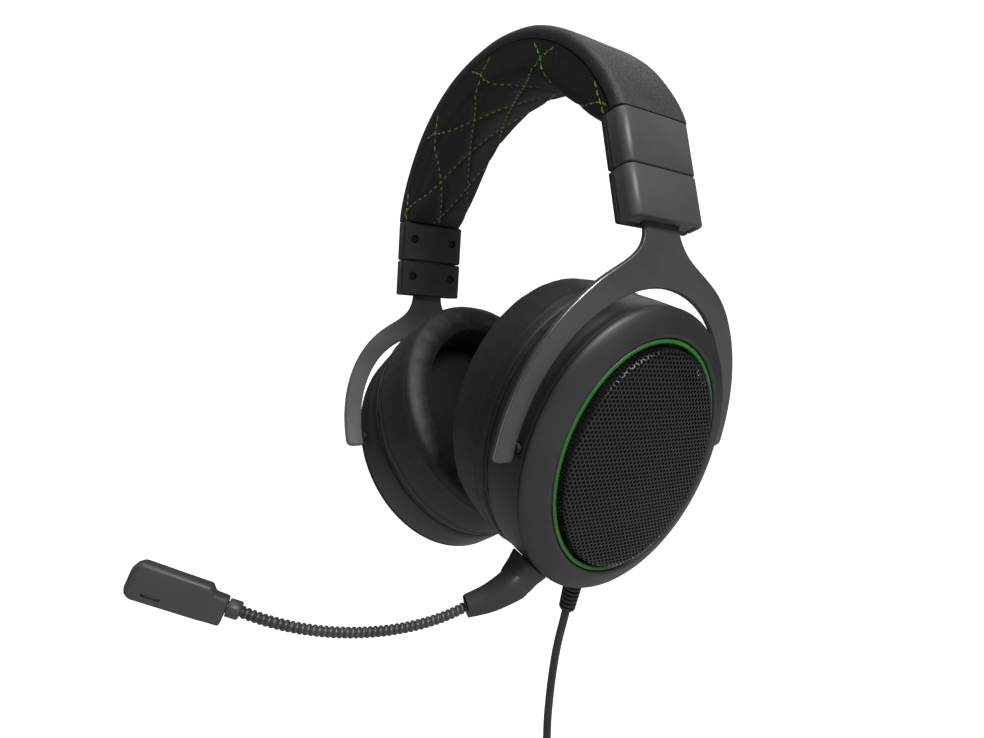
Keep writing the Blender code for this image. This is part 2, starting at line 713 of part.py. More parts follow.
def cup_shell(side_name, frame, parent):
    wall, low, high = SHELL_WALL, SHELL_INNER, SHELL_OUTER
    flange = high - SHELL_FLANGE_THICKNESS
    profile = [(0, low + 0.0005), (0, high), (-SHELL_FLANGE_WIDTH, high), (-SHELL_FLANGE_WIDTH, flange),
               (-wall, flange), (-wall, low), (-0.0005, low)]
    shell = oval_ring(f"cup_shell_{side_name}", profile, SHELL_PLASTIC)
    place(shell, frame, parent)
    for where, sign in (("front", -1), ("rear", 1)):
        bore = cylinder(f"{shell.name}_pivot_{where}", PIVOT_RADIUS + PIN_GAP,
                        (YOKE_PLANE, sign * (CUP_HALF_DEPTH - 2 * wall), PIVOT_HEIGHT),
                        (YOKE_PLANE, sign * (CUP_HALF_DEPTH + wall), PIVOT_HEIGHT),
                        collection=CUTTERS)
        cut(shell, place(bore, frame, parent))
    return shell


def cup_bezel(side_name, frame, parent):
    low = SHELL_OUTER + GAP
    inner, rise, thick = BEZEL_SLOPE_WIDTH, BEZEL_RISE, BEZEL_THICKNESS
    profile = [(-0.0003, low), (0, low + 0.0008), (-0.0010, low + thick), (-inner + 0.0012, low + rise),
               (-inner + 0.0003, low + rise - 0.0001), (-inner, low + rise - 0.0006), (-inner, low),
               (-inner + thick, low), (-inner + thick, low + rise - thick), (-0.0030, low)]
    place(oval_ring(f"cup_bezel_{side_name}", profile, SHELL_PLASTIC), frame, parent)


def accent_ring(side_name, frame, parent):
    outer = -BEZEL_SLOPE_WIDTH - GAP
    high = SHELL_OUTER + BEZEL_RISE
    profile = [(outer, high - RING_HEIGHT), (outer, high), (outer - RING_WIDTH, high),
               (outer - RING_WIDTH, high - RING_HEIGHT)]
    place(oval_ring(f"accent_ring_{side_name}", profile, GREEN_PLASTIC), frame, parent)


def grille(side_name, frame, parent):
    """Pressed metal grille: a shallow dome with a tightly rounded edge."""
    edge = -BEZEL_SLOPE_WIDTH - GAP - RING_WIDTH - RECESS_WIDTH
    foot = SHELL_OUTER + GAP
    rows = ((edge, foot), (edge, foot + GRILLE_RISE * 0.62), (edge - 0.0008, foot + GRILLE_RISE * 0.78),
            (edge - 0.0026, foot + GRILLE_RISE * 0.88), (edge - 0.0100, foot + GRILLE_RISE * 0.95),
            (edge - 0.0200, foot + GRILLE_RISE))
    thick = GRILLE_THICKNESS
    inner = [(outset - thick, depth - (thick if depth > foot else 0)) for outset, depth in reversed(rows)]
    sections = []
    for outset, depth in list(rows) + inner:
        points = [oval_point(math.tau * step / OVAL_STEPS, outset) for step in range(OVAL_STEPS)]
        sections.append([(depth, point.x, point.y) for point in points])
    place(dome(f"grille_{side_name}", sections, len(rows), PAINTED_METAL), frame, parent)


def dome(name, sections, outer_count, mat):
    """Skin the outer rows and the inner rows of a domed sheet, closed at its foot and crown."""

    def build(shape):
        rows = [[shape.verts.new(point) for point in section] for section in sections]
        count = len(rows[0])
        for number in range(len(rows)):
            following = (number + 1) % len(rows)
            if number == outer_count - 1:
                continue
            for index in range(count):
                after = (index + 1) % count
                shape.faces.new((rows[number][index], rows[number][after],
                                 rows[following][after], rows[following][index]))
        shape.faces.new(rows[outer_count - 1])
        shape.faces.new(rows[outer_count])

    return mesh_object(name, build, mat)


def driver_and_baffle(side_name, frame, parent):
    high = SHELL_INNER - GAP
    baffle = oval_disc(f"baffle_{side_name}", -0.0004, high - BAFFLE_THICKNESS, high, DARK_PLASTIC)
    place(baffle, frame, parent)
    hole = cylinder(f"baffle_{side_name}_hole", SOUND_HOLE_RADIUS, (high - 2 * BAFFLE_THICKNESS, 0, 0),
                    (high + BAFFLE_THICKNESS, 0, 0), collection=CUTTERS, sides=28)
    cut(baffle, place(hole, frame, parent))
    radius, depth = DRIVER_RADIUS, DRIVER_DEPTH
    profile = [(0, depth), (radius * 0.55, depth), (radius * 0.6, depth * 0.45), (radius, depth * 0.4),
               (radius, 0), (0, 0)]
    driver = turned(f"driver_{side_name}", profile, DARK_PLASTIC, steps=24,
                    start=(high + GAP, 0, 0), direction=(1, 0, 0))
    place(driver, frame, parent)


def ear_cushion(side_name, frame, parent):
    """Soft oval ring; its outline is a rounded D carried round the cup."""
    high, low, wall = CUSHION_BACK, CUSHION_FACE, CUSHION_WALL
    profile = [(-0.0012, high), (0, high - 0.0012), (0.0004, high - CUSHION_DEPTH * 0.45),
               (-0.0014, low + 0.0052), (-0.0050, low + 0.0010), (-wall * 0.55, low),
               (-wall + 0.0024, low + 0.0018), (-wall, low + 0.0070), (-wall + 0.0008, high - 0.0030),
               (-wall + 0.0030, high)]
    place(oval_ring(f"ear_cushion_{side_name}", profile, LEATHERETTE), frame, parent)


def cup(side_name, side, parent):
    frame = side @ CUP_FRAME
    shell = cup_shell(side_name, frame, parent)
    cup_bezel(side_name, frame, parent)
    accent_ring(side_name, frame, parent)
    grille(side_name, frame, parent)
    driver_and_baffle(side_name, frame, parent)
    ear_cushion(side_name, frame, parent)
    return shell


# Left cup's controls, cable exit and microphone socket

def rim_frame(angle, depth):
    """Frame on the side wall: x outward through the wall, y round the cup, z out of its face."""
    point, normal = oval_point(angle), oval_normal(angle)
    outward = Vector((0, normal.x, normal.y))
    face = Vector((1, 0, 0))
    around = face.cross(outward)
    turn = Matrix((outward, around, face)).transposed().to_4x4()
    return CUP_FRAME @ Matrix.Translation((depth, point.x, point.y)) @ turn


def volume_wheel(shell, parent, holder):
    frame = rim_frame(WHEEL_ANGLE, CONTROL_DEPTH)
    radius, half = WHEEL_RADIUS, WHEEL_THICKNESS / 2
    centre = WHEEL_PROUD - radius
    profile = [(0, half), (radius - 0.0006, half), (radius, half - 0.0006), (radius, -half + 0.0006),
               (radius - 0.0006, -half), (0, -half)]
    place(turned("volume_wheel", profile, RUBBER, steps=28, start=(centre, 0, 0)), frame, parent)
    slot = cylinder("volume_slot", radius + SLIDE_GAP, (centre, 0, -half - SLIDE_GAP),
                    (centre, 0, half + SLIDE_GAP), collection=CUTTERS, sides=28)
    cut(shell, place(slot, frame, holder))


def mute_button(shell, parent, holder):
    frame = rim_frame(BUTTON_ANGLE, CONTROL_DEPTH)
    inner = BUTTON_PROUD - BUTTON_LENGTH
    profile = [(0, BUTTON_PROUD), (BUTTON_RADIUS - 0.0005, BUTTON_PROUD),
               (BUTTON_RADIUS, BUTTON_PROUD - 0.0005), (BUTTON_RADIUS, inner), (0, inner)]
    place(turned("mute_button", profile, DARK_PLASTIC, steps=20, direction=(1, 0, 0)), frame, parent)
    hole = cylinder("mute_hole", BUTTON_RADIUS + PIN_GAP, (2 * inner, 0, 0), (0.004, 0, 0),
                    collection=CUTTERS, sides=20)
    cut(shell, place(hole, frame, holder))


def circuit_board(parent):
    """Small board behind the volume wheel and the mute button."""
    frame = rim_frame((WHEEL_ANGLE + BUTTON_ANGLE) / 2, CONTROL_DEPTH)
    thick, length, width = BOARD_SIZE
    high = -SHELL_WALL - WHEEL_THICKNESS
    low_z = WHEEL_THICKNESS / 2 + BUTTON_RADIUS / 2
    board = box("circuit_board", (high - width, -length / 2, low_z), (high, length / 2, low_z + thick),
                BOARD_GREEN)
    place(board, frame, parent)


def strain_relief(shell, parent):
    frame = rim_frame(math.radians(-90), CABLE_DEPTH)
    collar = RELIEF_TOP_RADIUS - 0.0008
    inside = -SHELL_WALL - 0.0010
    profile = [(0, RELIEF_LENGTH), (RELIEF_END_RADIUS, RELIEF_LENGTH), (RELIEF_TOP_RADIUS, GAP),
               (collar, GAP), (collar, inside), (0, inside)]
    place(turned("strain_relief", profile, RUBBER, steps=20, direction=(1, 0, 0)), frame, parent)
    hole = cylinder("cable_hole", collar + PIN_GAP, (2 * inside, 0, 0), (0.004, 0, 0),
                    collection=CUTTERS)
    cut(shell, place(hole, frame, parent))


def mic_socket(shell, parent):
    frame = rim_frame(MIC_ANGLE, MIC_DEPTH)
    bore = JACK_RADIUS + PIN_GAP
    top = -SHELL_WALL - 2 * GAP
    profile = [(bore, top), (SOCKET_RADIUS, top), (SOCKET_RADIUS, top - SOCKET_LENGTH),
               (bore, top - SOCKET_LENGTH)]
    place(turned("mic_socket", profile, DARK_PLASTIC, steps=20, direction=(1, 0, 0), close=True),
          frame, parent)
    hole = cylinder("mic_hole", bore, (-0.010, 0, 0), (0.004, 0, 0), collection=CUTTERS)
    cut(shell, place(hole, frame, parent))


# Microphone

def mic_frame():
    return rim_frame(MIC_ANGLE, MIC_DEPTH)


def elbow(parent):
    frame = mic_frame()
    foot = frame @ Vector((0.0007, 0, 0))
    second = frame @ Vector((0.0040, 0, 0))
    points = [foot, second] + [frame @ point for point in ELBOW_ROUTE]
    radii = [ELBOW_RADIUS, ELBOW_RADIUS * 0.88, ELBOW_RADIUS * 0.80, ELBOW_RADIUS * 0.70, ELBOW_END_RADIUS]
    place(tube("mic_elbow", points, ELBOW_RADIUS, SHELL_PLASTIC, radii=radii), LEFT, parent)


def mic_jack(parent):
    high = 0.0007 - GAP
    low = high - JACK_LENGTH
    radius = JACK_RADIUS
    profile = [(0, high), (radius, high), (radius, low + 0.0016), (radius * 0.7, low + 0.0010),
               (radius * 0.85, low + 0.0005), (0, low)]
    place(turned("mic_jack", profile, STEEL, steps=16, direction=(1, 0, 0)), mic_frame(), parent)


def gooseneck_point(along):
    rest = 1 - along
    point = (GOOSENECK_START * rest**3 + GOOSENECK_PULL_A * 3 * rest**2 * along
             + GOOSENECK_PULL_B * 3 * rest * along**2 + GOOSENECK_END * along**3)
    return mic_frame() @ point


def gooseneck(name, start, end, parent, steps=8):
    """One length of the gooseneck; an end at a bend is cut back so that it clears at the limit."""
    points = [gooseneck_point(start + (end - start) * step / steps) for step in range(steps + 1)]
    relief = GOOSENECK_RADIUS * math.tan(BEND_LIMIT / 2) + GAP / 2
    start_cut = relief if start in (BEND_LOW, BEND_HIGH) else GAP / 2
    end_cut = relief if end in (BEND_LOW, BEND_HIGH) else GAP / 2
    points[0] += (points[1] - points[0]).normalized() * start_cut
    points[-1] += (points[-2] - points[-1]).normalized() * end_cut
    place(tube(name, points, GOOSENECK_RADIUS, STEEL), LEFT, parent)


def capsule_frame():
    """Frame at the gooseneck's end: z along the capsule, y across its thickness."""
    start, tip = mic_frame() @ GOOSENECK_END, mic_frame() @ CAPSULE_TIP
    along = (tip - start).normalized()
    across = Vector((0, 0, 1)).cross(along).normalized()
    height = along.cross(across)
    turn = Matrix((height, across, along)).transposed().to_4x4()
    return Matrix.Translation(start) @ turn


def capsule(parent):
    frame = capsule_frame()
    length = (CAPSULE_TIP - GOOSENECK_END).length
    thickness, height = CAPSULE_SIZE
    collar_end = GAP + COLLAR_LENGTH
    profile = [(0, collar_end), (COLLAR_RADIUS, collar_end), (COLLAR_RADIUS, GAP), (0, GAP)]
    place(turned("mic_collar", profile, DARK_PLASTIC, steps=20), frame, parent)
    neck_end = collar_end + GAP + NECK_PIECE_LENGTH
    neck = box("mic_neck", (-height * 0.38, -thickness * 0.42, collar_end + GAP),
               (height * 0.38, thickness * 0.42, neck_end), SHELL_PLASTIC, 0.0010)
    place(neck, frame, parent)
    body = box("mic_body", (-height / 2, -thickness / 2, neck_end + GAP),
               (height / 2, thickness / 2, length), SHELL_PLASTIC, 0.0014)
    place(body, frame, parent)


# Cable: the lead, the coil of its unseen length, the tie and the plug

def smooth_route(points, per_span=2):
    """Points of a smooth curve through a route's own points."""
    padded = [points[0]] + list(points) + [points[-1]]
    padded = [Vector(point) for point in padded]
    made = []
    for index in range(1, len(padded) - 2):
        before, first, second, after = padded[index - 1:index + 3]
        for step in range(per_span):
            part = step / per_span
            made.append(0.5 * (2 * first + (second - before) * part
                               + (2 * before - 5 * first + 4 * second - after) * part**2
                               + (3 * first - before - 3 * second + after) * part**3))
    made.append(padded[-2])
    return made


def lead_start():
    return rim_frame(math.radians(-90), CABLE_DEPTH) @ Vector((RELIEF_LENGTH + GAP, 0, 0))


def coil_centre():
    """The lead comes down to the coil's outermost turn, in the column at the front."""
    end = lead_start() + Vector(LEAD_ROUTE[-1])
    return Vector((end.x - COIL_OUTER_TURN, 0, end.z - COIL_DROP))


def cable():
    start, centre = lead_start(), coil_centre()
    tube("cable_lead", smooth_route([start + Vector(point) for point in LEAD_ROUTE]), CORD_RADIUS, RUBBER)
    half = COIL_HALF_SECTION
    inner, outer = COIL_MEAN_RADIUS - half, COIL_MEAN_RADIUS + half
    soft = CORD_RADIUS * 0.6
    profile = [(inner + soft, half), (outer - soft, half), (outer, half - soft), (outer, -half + soft),
               (outer - soft, -half), (inner + soft, -half), (inner, -half + soft), (inner, half - soft)]
    turned("cable_coil", profile, RUBBER, steps=24, start=centre, direction=(0, 1, 0), close=True)
    cable_tie(centre, inner, outer, half)
    tail_x = centre.x + COIL_OUTER_TURN
    tail_y = (COIL_TURNS_DEEP - 1) / 2 * COIL_PITCH
    tail_top = centre.z - coil_clearance(outer)
    tail = [(tail_x, tail_y, tail_top - TAIL_LENGTH * step / 4) for step in range(5)]
    tube("cable_tail", tail, CORD_RADIUS, RUBBER)
    plug(Vector((tail_x, tail_y, tail_top - TAIL_LENGTH - GAP)))


def coil_clearance(outer):
    """How far above the coil's centre a tube at its outer turn clears the coil's solid."""
    reach = COIL_OUTER_TURN - CORD_RADIUS
    return math.sqrt(outer**2 - reach**2) + GAP


def cable_tie(centre, inner, outer, half):
    """A strap round the coil's bundle, on the side away from the lead."""
    near = math.sqrt(inner**2 - (TIE_WIDTH / 2) ** 2) - GAP
    far = outer + GAP
    side = half + GAP
    grow = TIE_THICKNESS
    section = [(near, -side), (far, -side), (far, side), (near, side)]
    around = [(near - grow, -side - grow), (far + grow, -side - grow), (far + grow, side + grow),
              (near - grow, side + grow)]
    sections = []
    for (radius, depth), (radius_out, depth_out) in zip(section, around):
        low, high = -TIE_WIDTH / 2, TIE_WIDTH / 2
        corners = [(radius, depth, low), (radius_out, depth_out, low), (radius_out, depth_out, high),
                   (radius, depth, high)]
        sections.append([centre + Vector((-x, y, z)) for x, y, z in corners])
    loft("cable_tie", sections, DARK_PLASTIC, closed_path=True)


def plug(top):
    radius, length = PLUG_RADIUS, PLUG_LENGTH
    profile = [(0, 0), (CORD_RADIUS + 0.0008, 0), (radius * 0.8, -length * 0.3), (radius, -length * 0.42),
               (radius, -length), (0, -length)]
    turned("plug_body", profile, RUBBER, steps=24, start=top)
    pin = PLUG_PIN_RADIUS
    low = -PLUG_PIN_LENGTH
    pin_profile = [(0, 0), (pin, 0), (pin, low + 0.0020), (pin * 0.68, low + 0.0013),
                   (pin * 0.9, low + 0.0008), (0, low)]
    turned("plug_pin", pin_profile, STEEL, steps=20, start=top - Vector((0, 0, length + GAP)))


# Assembly

def assemble():
    headband()
    cup_axes = {}
    for side_name, side in SIDES:
        frame = side @ HOUSING_FRAME
        root = empty(f"housing_{side_name}_fixed", frame)
        slider = empty(f"slider_{side_name}_axis", frame)
        upper_low = LOWER_LENGTH + SLIDE_GAP
        housing("upper", side_name, upper_low, HOUSING_LENGTH, frame, root)
        housing("lower", side_name, 0, LOWER_LENGTH, frame, slider)
        slider_strip(side_name, frame, slider)
        yoke(side_name, side, slider)
        pivot_pins(side_name, side, slider)
        pivot = side @ Matrix.Translation(PIVOT) @ Matrix.Rotation(CUP_LEAN, 4, "Y")
        cup_axes[side_name] = empty(f"cup_{side_name}_pivot", pivot)
    left_cup = cup_axes["left"]
    shell = cup("left", LEFT, left_cup)
    cup("right", RIGHT, cup_axes["right"])
    wheel_axis = empty("volume_axis", rim_frame(WHEEL_ANGLE, CONTROL_DEPTH)
                       @ Matrix.Translation((WHEEL_PROUD - WHEEL_RADIUS, 0, 0)))
    button_axis = empty("mute_axis", rim_frame(BUTTON_ANGLE, CONTROL_DEPTH))
    volume_wheel(shell, wheel_axis, left_cup)
    mute_button(shell, button_axis, left_cup)
    circuit_board(left_cup)
    strain_relief(shell, left_cup)
    mic_socket(shell, left_cup)
    mic = empty("mic_plug_axis", mic_frame())
    elbow(mic)
    mic_jack(mic)
    middle = empty("boom_bend_low", Matrix.Translation(gooseneck_point(BEND_LOW)))
    tip = empty("boom_bend_high", Matrix.Translation(gooseneck_point(BEND_HIGH)))
    gooseneck("gooseneck_root", 0.01, BEND_LOW, mic)
    gooseneck("gooseneck_middle", BEND_LOW, BEND_HIGH, middle, steps=12)
    gooseneck("gooseneck_tip", BEND_HIGH, 1.0, tip)
    capsule(tip)
    cable()


assemble()
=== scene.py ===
"""Wired gaming headset with a plug-in boom microphone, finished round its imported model.

Metres, +Z up.  The wearer looks along -Y and the wearer's left is +X.  The right
side's pieces are the left side's pieces turned half a turn about Z.
"""

import math

import bmesh
import bpy
import numpy as np
from mathutils import Matrix, Vector, noise


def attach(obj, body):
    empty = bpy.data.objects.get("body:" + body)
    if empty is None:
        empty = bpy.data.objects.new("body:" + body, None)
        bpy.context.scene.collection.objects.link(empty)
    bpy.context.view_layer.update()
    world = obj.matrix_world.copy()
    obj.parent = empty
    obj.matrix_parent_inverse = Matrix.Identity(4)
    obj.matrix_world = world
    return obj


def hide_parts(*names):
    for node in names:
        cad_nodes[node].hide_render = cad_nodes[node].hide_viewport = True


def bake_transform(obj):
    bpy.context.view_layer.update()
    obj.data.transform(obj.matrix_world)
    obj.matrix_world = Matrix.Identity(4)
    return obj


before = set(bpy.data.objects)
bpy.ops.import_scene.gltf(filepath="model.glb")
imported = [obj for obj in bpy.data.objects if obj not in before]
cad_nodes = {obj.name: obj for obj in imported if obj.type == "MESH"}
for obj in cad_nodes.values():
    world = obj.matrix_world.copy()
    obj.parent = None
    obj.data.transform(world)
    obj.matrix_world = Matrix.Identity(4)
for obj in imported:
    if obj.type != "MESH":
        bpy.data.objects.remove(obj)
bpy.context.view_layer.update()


# ---------------------------------------------------------------- headband cover
# A strip of thin leatherette over a foam skin, pulled over the spring-steel band
# and glued round its front and rear edges, so that its corners are soft.

band_end = Vector((0.0807, 0, 0.1049))
band_top = 0.1596
band_lean = math.radians(8.2)
band_half_width = 0.0165
cover_lip_depth = 0.0053


def band_place(share):
    """Point on the band's outer surface and the direction into it; share runs 0 to 1, right to left."""
    side = 1 if share >= 0.5 else -1
    along = abs(share - 0.5) * 2
    rest = 1 - along
    corner_pull = Vector((band_end.x - 0.022, 0, band_top))
    end_pull = band_end + Vector((-math.sin(band_lean), 0, math.cos(band_lean))) * 0.00704
    crown = Vector((0, 0, band_top))
    point = (crown * rest**3 + corner_pull * 3 * rest**2 * along
             + end_pull * 3 * rest * along**2 + band_end * along**3)
    slope = ((corner_pull - crown) * rest**2 + (end_pull - corner_pull) * 2 * rest * along
             + (band_end - end_pull) * along**2)
    inward = Vector((slope.z, 0, -slope.x)).normalized()
    return Vector((point.x * side, 0, point.z)), Vector((inward.x * side, 0, inward.z))


def band_stations(count):
    """Shares that are evenly spaced along the band's length, and the length itself."""
    fine = [index / 800 for index in range(801)]
    points = [band_place(share)[0] for share in fine]
    run = np.concatenate([[0], np.cumsum([(b - a).length for a, b in zip(points, points[1:])])])
    return np.interp(np.linspace(0, run[-1], count), run, fine), run[-1]


def finished_mesh(build, smooth=True):
    """Turn a bmesh into a mesh; fit_piece gives it its name."""
    mesh = bpy.data.meshes.new("part")
    build.to_mesh(mesh)
    build.free()
    if smooth:
        mesh.shade_smooth()
    return mesh


def skin(rows, ring=True, loop=False, capped=True):
    """A smooth mesh through rows of points; ring closes each row and loop joins the last row to the first."""
    count = len(rows[0])
    points = [tuple(point) for row in rows for point in row]
    faces = []
    for row in range(len(rows) if loop else len(rows) - 1):
        here, there = row * count, (row + 1) % len(rows) * count
        for index in range(count if ring else count - 1):
            after = (index + 1) % count
            faces.append((here + index, here + after, there + after, there + index))
    if capped and ring and not loop:
        faces += [tuple(range(count))[::-1], tuple(range(len(points) - count, len(points)))]
    rough = bpy.data.meshes.new("rough")
    rough.from_pydata(points, [], faces)
    build = bmesh.new()
    build.from_mesh(rough)
    bpy.data.meshes.remove(rough)
    bmesh.ops.recalc_face_normals(build, faces=build.faces)
    return finished_mesh(build)


def fit_piece(name, mesh, finish, body, *stands_for, slot=None, sharp=None):
    """Make a mesh a piece that rides on a body and stands for its plain nodes."""
    mesh.name = name
    if sharp is not None:
        mesh.set_sharp_from_angle(angle=math.radians(sharp))
    mesh.materials.append(finish)
    piece = bpy.data.objects.new(name, mesh)
    bpy.context.collection.objects.link(piece)
    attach(piece, body)
    if stands_for:
        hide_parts(*stands_for)
    return piece


def dress_nodes(names, finish, soft_edge=0.0):
    """Give plain nodes their material and, where asked, a small bevel of that width."""
    for name in names:
        node = cad_nodes[name]
        node.data.materials.clear()
        node.data.materials.append(finish)
        if soft_edge:
            bevel = node.modifiers.new("soft_edges", "BEVEL")
            bevel.width = soft_edge
            bevel.segments = 2


def add_node(tree, kind, links=(), values=(), **settings):
    """One shader node with its settings, plain values and incoming links."""
    made = tree.nodes.new(kind)
    for setting, value in settings.items():
        setattr(made, setting, value)
    for socket, value in dict(values).items():
        made.inputs[socket].default_value = value
    for socket, source in dict(links).items():
        tree.links.new(source, made.inputs[socket])
    return made


def new_group(name, inputs, outputs):
    """A shader node group with named sockets; returns its tree, its input node and its output node."""
    group = bpy.data.node_groups.new(name, "ShaderNodeTree")
    for socket, value in inputs.items():
        made = group.interface.new_socket(socket, in_out="INPUT", socket_type="NodeSocketFloat")
        made.default_value = value
    for socket in outputs:
        group.interface.new_socket(socket, in_out="OUTPUT", socket_type="NodeSocketFloat")
    return group, group.nodes.new("NodeGroupInput"), group.nodes.new("NodeGroupOutput")


def scaled_place(tree, size):
    """The object's own coordinates divided by a size socket, so that a pattern's grain is in metres."""
    place = add_node(tree, "ShaderNodeTexCoord")
    share = add_node(tree, "ShaderNodeMath", {1: size}, {0: 1.0}, operation="DIVIDE")
    return add_node(tree, "ShaderNodeVectorMath", {0: place.outputs["Object"], "Scale": share.outputs[0]},
                    operation="SCALE").outputs["Vector"]


def make_grain_group():
    """Pebbled leather grain: rounded cells between fine creases, a crease mask for painted shade, and a slow
    change of tone.
    """
    group, given, result = new_group("pebbled_grain", {"Grain Size": 0.0008, "Patch Size": 0.012},
                                     ("Height", "Crease Shade", "Patch"))
    place = scaled_place(group, given.outputs["Grain Size"])
    bent = add_node(group, "ShaderNodeTexNoise", {"Vector": place}, {"Scale": 0.7, "Detail": 2.0})
    pushed = add_node(group, "ShaderNodeVectorMath", {0: bent.outputs["Color"], 2: place},
                      {1: (0.9, 0.9, 0.9)}, operation="MULTIPLY_ADD")
    cells = add_node(group, "ShaderNodeTexVoronoi", {"Vector": pushed.outputs["Vector"]},
                     {"Scale": 1.0, "Randomness": 0.9}, feature="DISTANCE_TO_EDGE")
    crease = add_node(group, "ShaderNodeMapRange", {"Value": cells.outputs["Distance"]},
                      {"From Min": 0.0, "From Max": 0.16, "To Min": 1.0, "To Max": 0.0})
    fine = add_node(group, "ShaderNodeTexNoise", {"Vector": place}, {"Scale": 3.0, "Detail": 3.0})
    pebble = add_node(group, "ShaderNodeMapRange", {"Value": cells.outputs["Distance"]},
                      {"From Min": 0.0, "From Max": 0.35})
    height = add_node(group, "ShaderNodeMath", {0: fine.outputs["Fac"], 2: pebble.outputs["Result"]},
                      {1: 0.25}, operation="MULTIPLY_ADD")
    wide = scaled_place(group, given.outputs["Patch Size"])
    patch = add_node(group, "ShaderNodeTexNoise", {"Vector": wide}, {"Scale": 1.0, "Detail": 3.0})
    group.links.new(height.outputs[0], result.inputs["Height"])
    group.links.new(crease.outputs["Result"], result.inputs["Crease Shade"])
    group.links.new(patch.outputs["Fac"], result.inputs["Patch"])
    return group


grain_group = make_grain_group()


def new_finish(name, roughness, metallic=0.0, values=()):
    """A material with its shader's plain values set on the shader's own sockets."""
    made = bpy.data.materials.new(name)
    made.use_nodes = True
    shader = made.node_tree.nodes["Principled BSDF"]
    shader.inputs["Roughness"].default_value = roughness
    shader.inputs["Metallic"].default_value = metallic
    for socket, value in dict(values).items():
        shader.inputs[socket].default_value = value
    return made, made.node_tree, shader


def blend_colours(tree, mask, low, high):
    """Colour that goes from low to high as the mask goes from 0 to 1; either may be a socket."""
    mix = add_node(tree, "ShaderNodeMix", {0: mask}, data_type="RGBA")
    for socket, colour in ((6, low), (7, high)):
        if isinstance(colour, tuple):
            mix.inputs[socket].default_value = (*colour, 1)
        else:
            tree.links.new(colour, mix.inputs[socket])
    return mix.outputs[2]


def spread_values(tree, source, low, high, start=0.0, end=1.0):
    """A value that goes from low to high as the source goes from start to end."""
    return add_node(tree, "ShaderNodeMapRange", {"Value": source},
                    {"From Min": start, "From Max": end, "To Min": low, "To Max": high}).outputs["Result"]


def raise_surface(tree, shader, height, strength, distance, under=None):
    """Bump from a height socket into the shader's normal."""
    bump = add_node(tree, "ShaderNodeBump", {"Height": height}, {"Strength": strength, "Distance": distance})
    if under is not None:
        tree.links.new(under, bump.inputs["Normal"])
    tree.links.new(bump.outputs["Normal"], shader.inputs["Normal"])
    return bump.outputs["Normal"]


def make_leatherette(name, dark, light, grain, strength, roughness):
    made, tree, shader = new_finish(name, roughness, values={"Sheen Weight": 0.03, "Sheen Roughness": 0.5})
    surface = add_node(tree, "ShaderNodeGroup", node_tree=grain_group)
    surface.inputs["Grain Size"].default_value = grain
    worn = spread_values(tree, surface.outputs["Patch"], 0.0, 1.0, 0.35, 0.68)
    tone = blend_colours(tree, worn, dark, light)
    # Painted shade: the grain's creases are darkened in the base colour.
    crease_shaded = blend_colours(tree, surface.outputs["Crease Shade"], tone, tuple(part * 0.55 for part in dark))
    tree.links.new(crease_shaded, shader.inputs["Base Color"])
    tree.links.new(spread_values(tree, surface.outputs["Height"], roughness + 0.12, roughness - 0.06),
                   shader.inputs["Roughness"])
    raise_surface(tree, shader, surface.outputs["Height"], strength, 0.00012)
    return made


cover_leather = make_leatherette("cover_leatherette", (0.030, 0.030, 0.031), (0.044, 0.044, 0.045),
                                 0.0008, 0.8, 0.50)


def cover_section():
    """Half of the cover's section from the crown to the lip's inner edge, then back along the inside."""
    half, lip, skin_depth, corner = band_half_width, 0.0018, 0.0016, 0.0026
    outer = [(0, 0.0), (half * 0.35, 0.00003), (half * 0.65, 0.00010)]
    for step in range(8):
        turn = math.radians(90) * step / 7
        outer.append((half - corner + corner * math.sin(turn), 0.0002 + corner * (1 - math.cos(turn))))
    outer += [(half + 0.0001, 0.0040), (half - 0.0001, 0.0049), (half - 0.0006, cover_lip_depth)]
    inner = [(half - lip, cover_lip_depth - 0.0002), (half - lip, 0.0030), (half - lip - 0.0006, skin_depth),
             (half * 0.5, skin_depth)]
    return outer, inner


def cover_mesh():
    outer, inner = cover_section()
    mirrored = [(-width, depth) for width, depth in reversed(outer[1:])]
    section = (mirrored + outer + inner + [(0, 0.0016)]
               + [(-width, depth) for width, depth in reversed(inner)])
    shares, length = band_stations(181)
    rows = []
    for share in shares:
        point, inward = band_place(share)
        row = []
        for width, depth in section:
            at = point + inward * depth + Vector((0, width, 0))
            soft = noise.noise(at * 55) * 0.00022 + noise.noise(at * 160) * 0.00006
            outside = depth < 0.0014 or abs(width) > band_half_width - 0.0004
            row.append(at + inward * soft if outside else at)
        rows.append(row)
    return skin(rows)


cover = fit_piece("headband_cover_skin", cover_mesh(), cover_leather, "headband",
                  "headband_cover", slot="leatherette", sharp=60)


# ---------------------------------------------------------------- spring-steel band
# A strip of blued spring steel inside the band, screwed between the housings.
# It is hidden by the cover and the pad.

def make_steel(name, tone, roughness, run):
    """Steel with fine lines along one axis; run is the stretch along x, y and z."""
    made, tree, shader = new_finish(name, roughness, 1.0)
    place = add_node(tree, "ShaderNodeTexCoord")
    drawn = add_node(tree, "ShaderNodeVectorMath", {0: place.outputs["Object"]}, {1: run},
                     operation="MULTIPLY")
    lines = add_node(tree, "ShaderNodeTexNoise", {"Vector": drawn.outputs["Vector"]},
                     {"Scale": 1.0, "Detail": 4.0, "Roughness": 0.6})
    tree.links.new(blend_colours(tree, lines.outputs["Fac"], tuple(part * 0.8 for part in tone), tone),
                   shader.inputs["Base Color"])
    tree.links.new(spread_values(tree, lines.outputs["Fac"], roughness - 0.08, roughness + 0.12),
                   shader.inputs["Roughness"])
    raise_surface(tree, shader, lines.outputs["Fac"], 0.25, 0.00003)
    return made


spring_steel = make_steel("spring_steel", (0.42, 0.43, 0.45), 0.32, (400, 5000, 400))
dress_nodes(("headband_frame", "slider_strip_left", "slider_strip_right"), spring_steel)


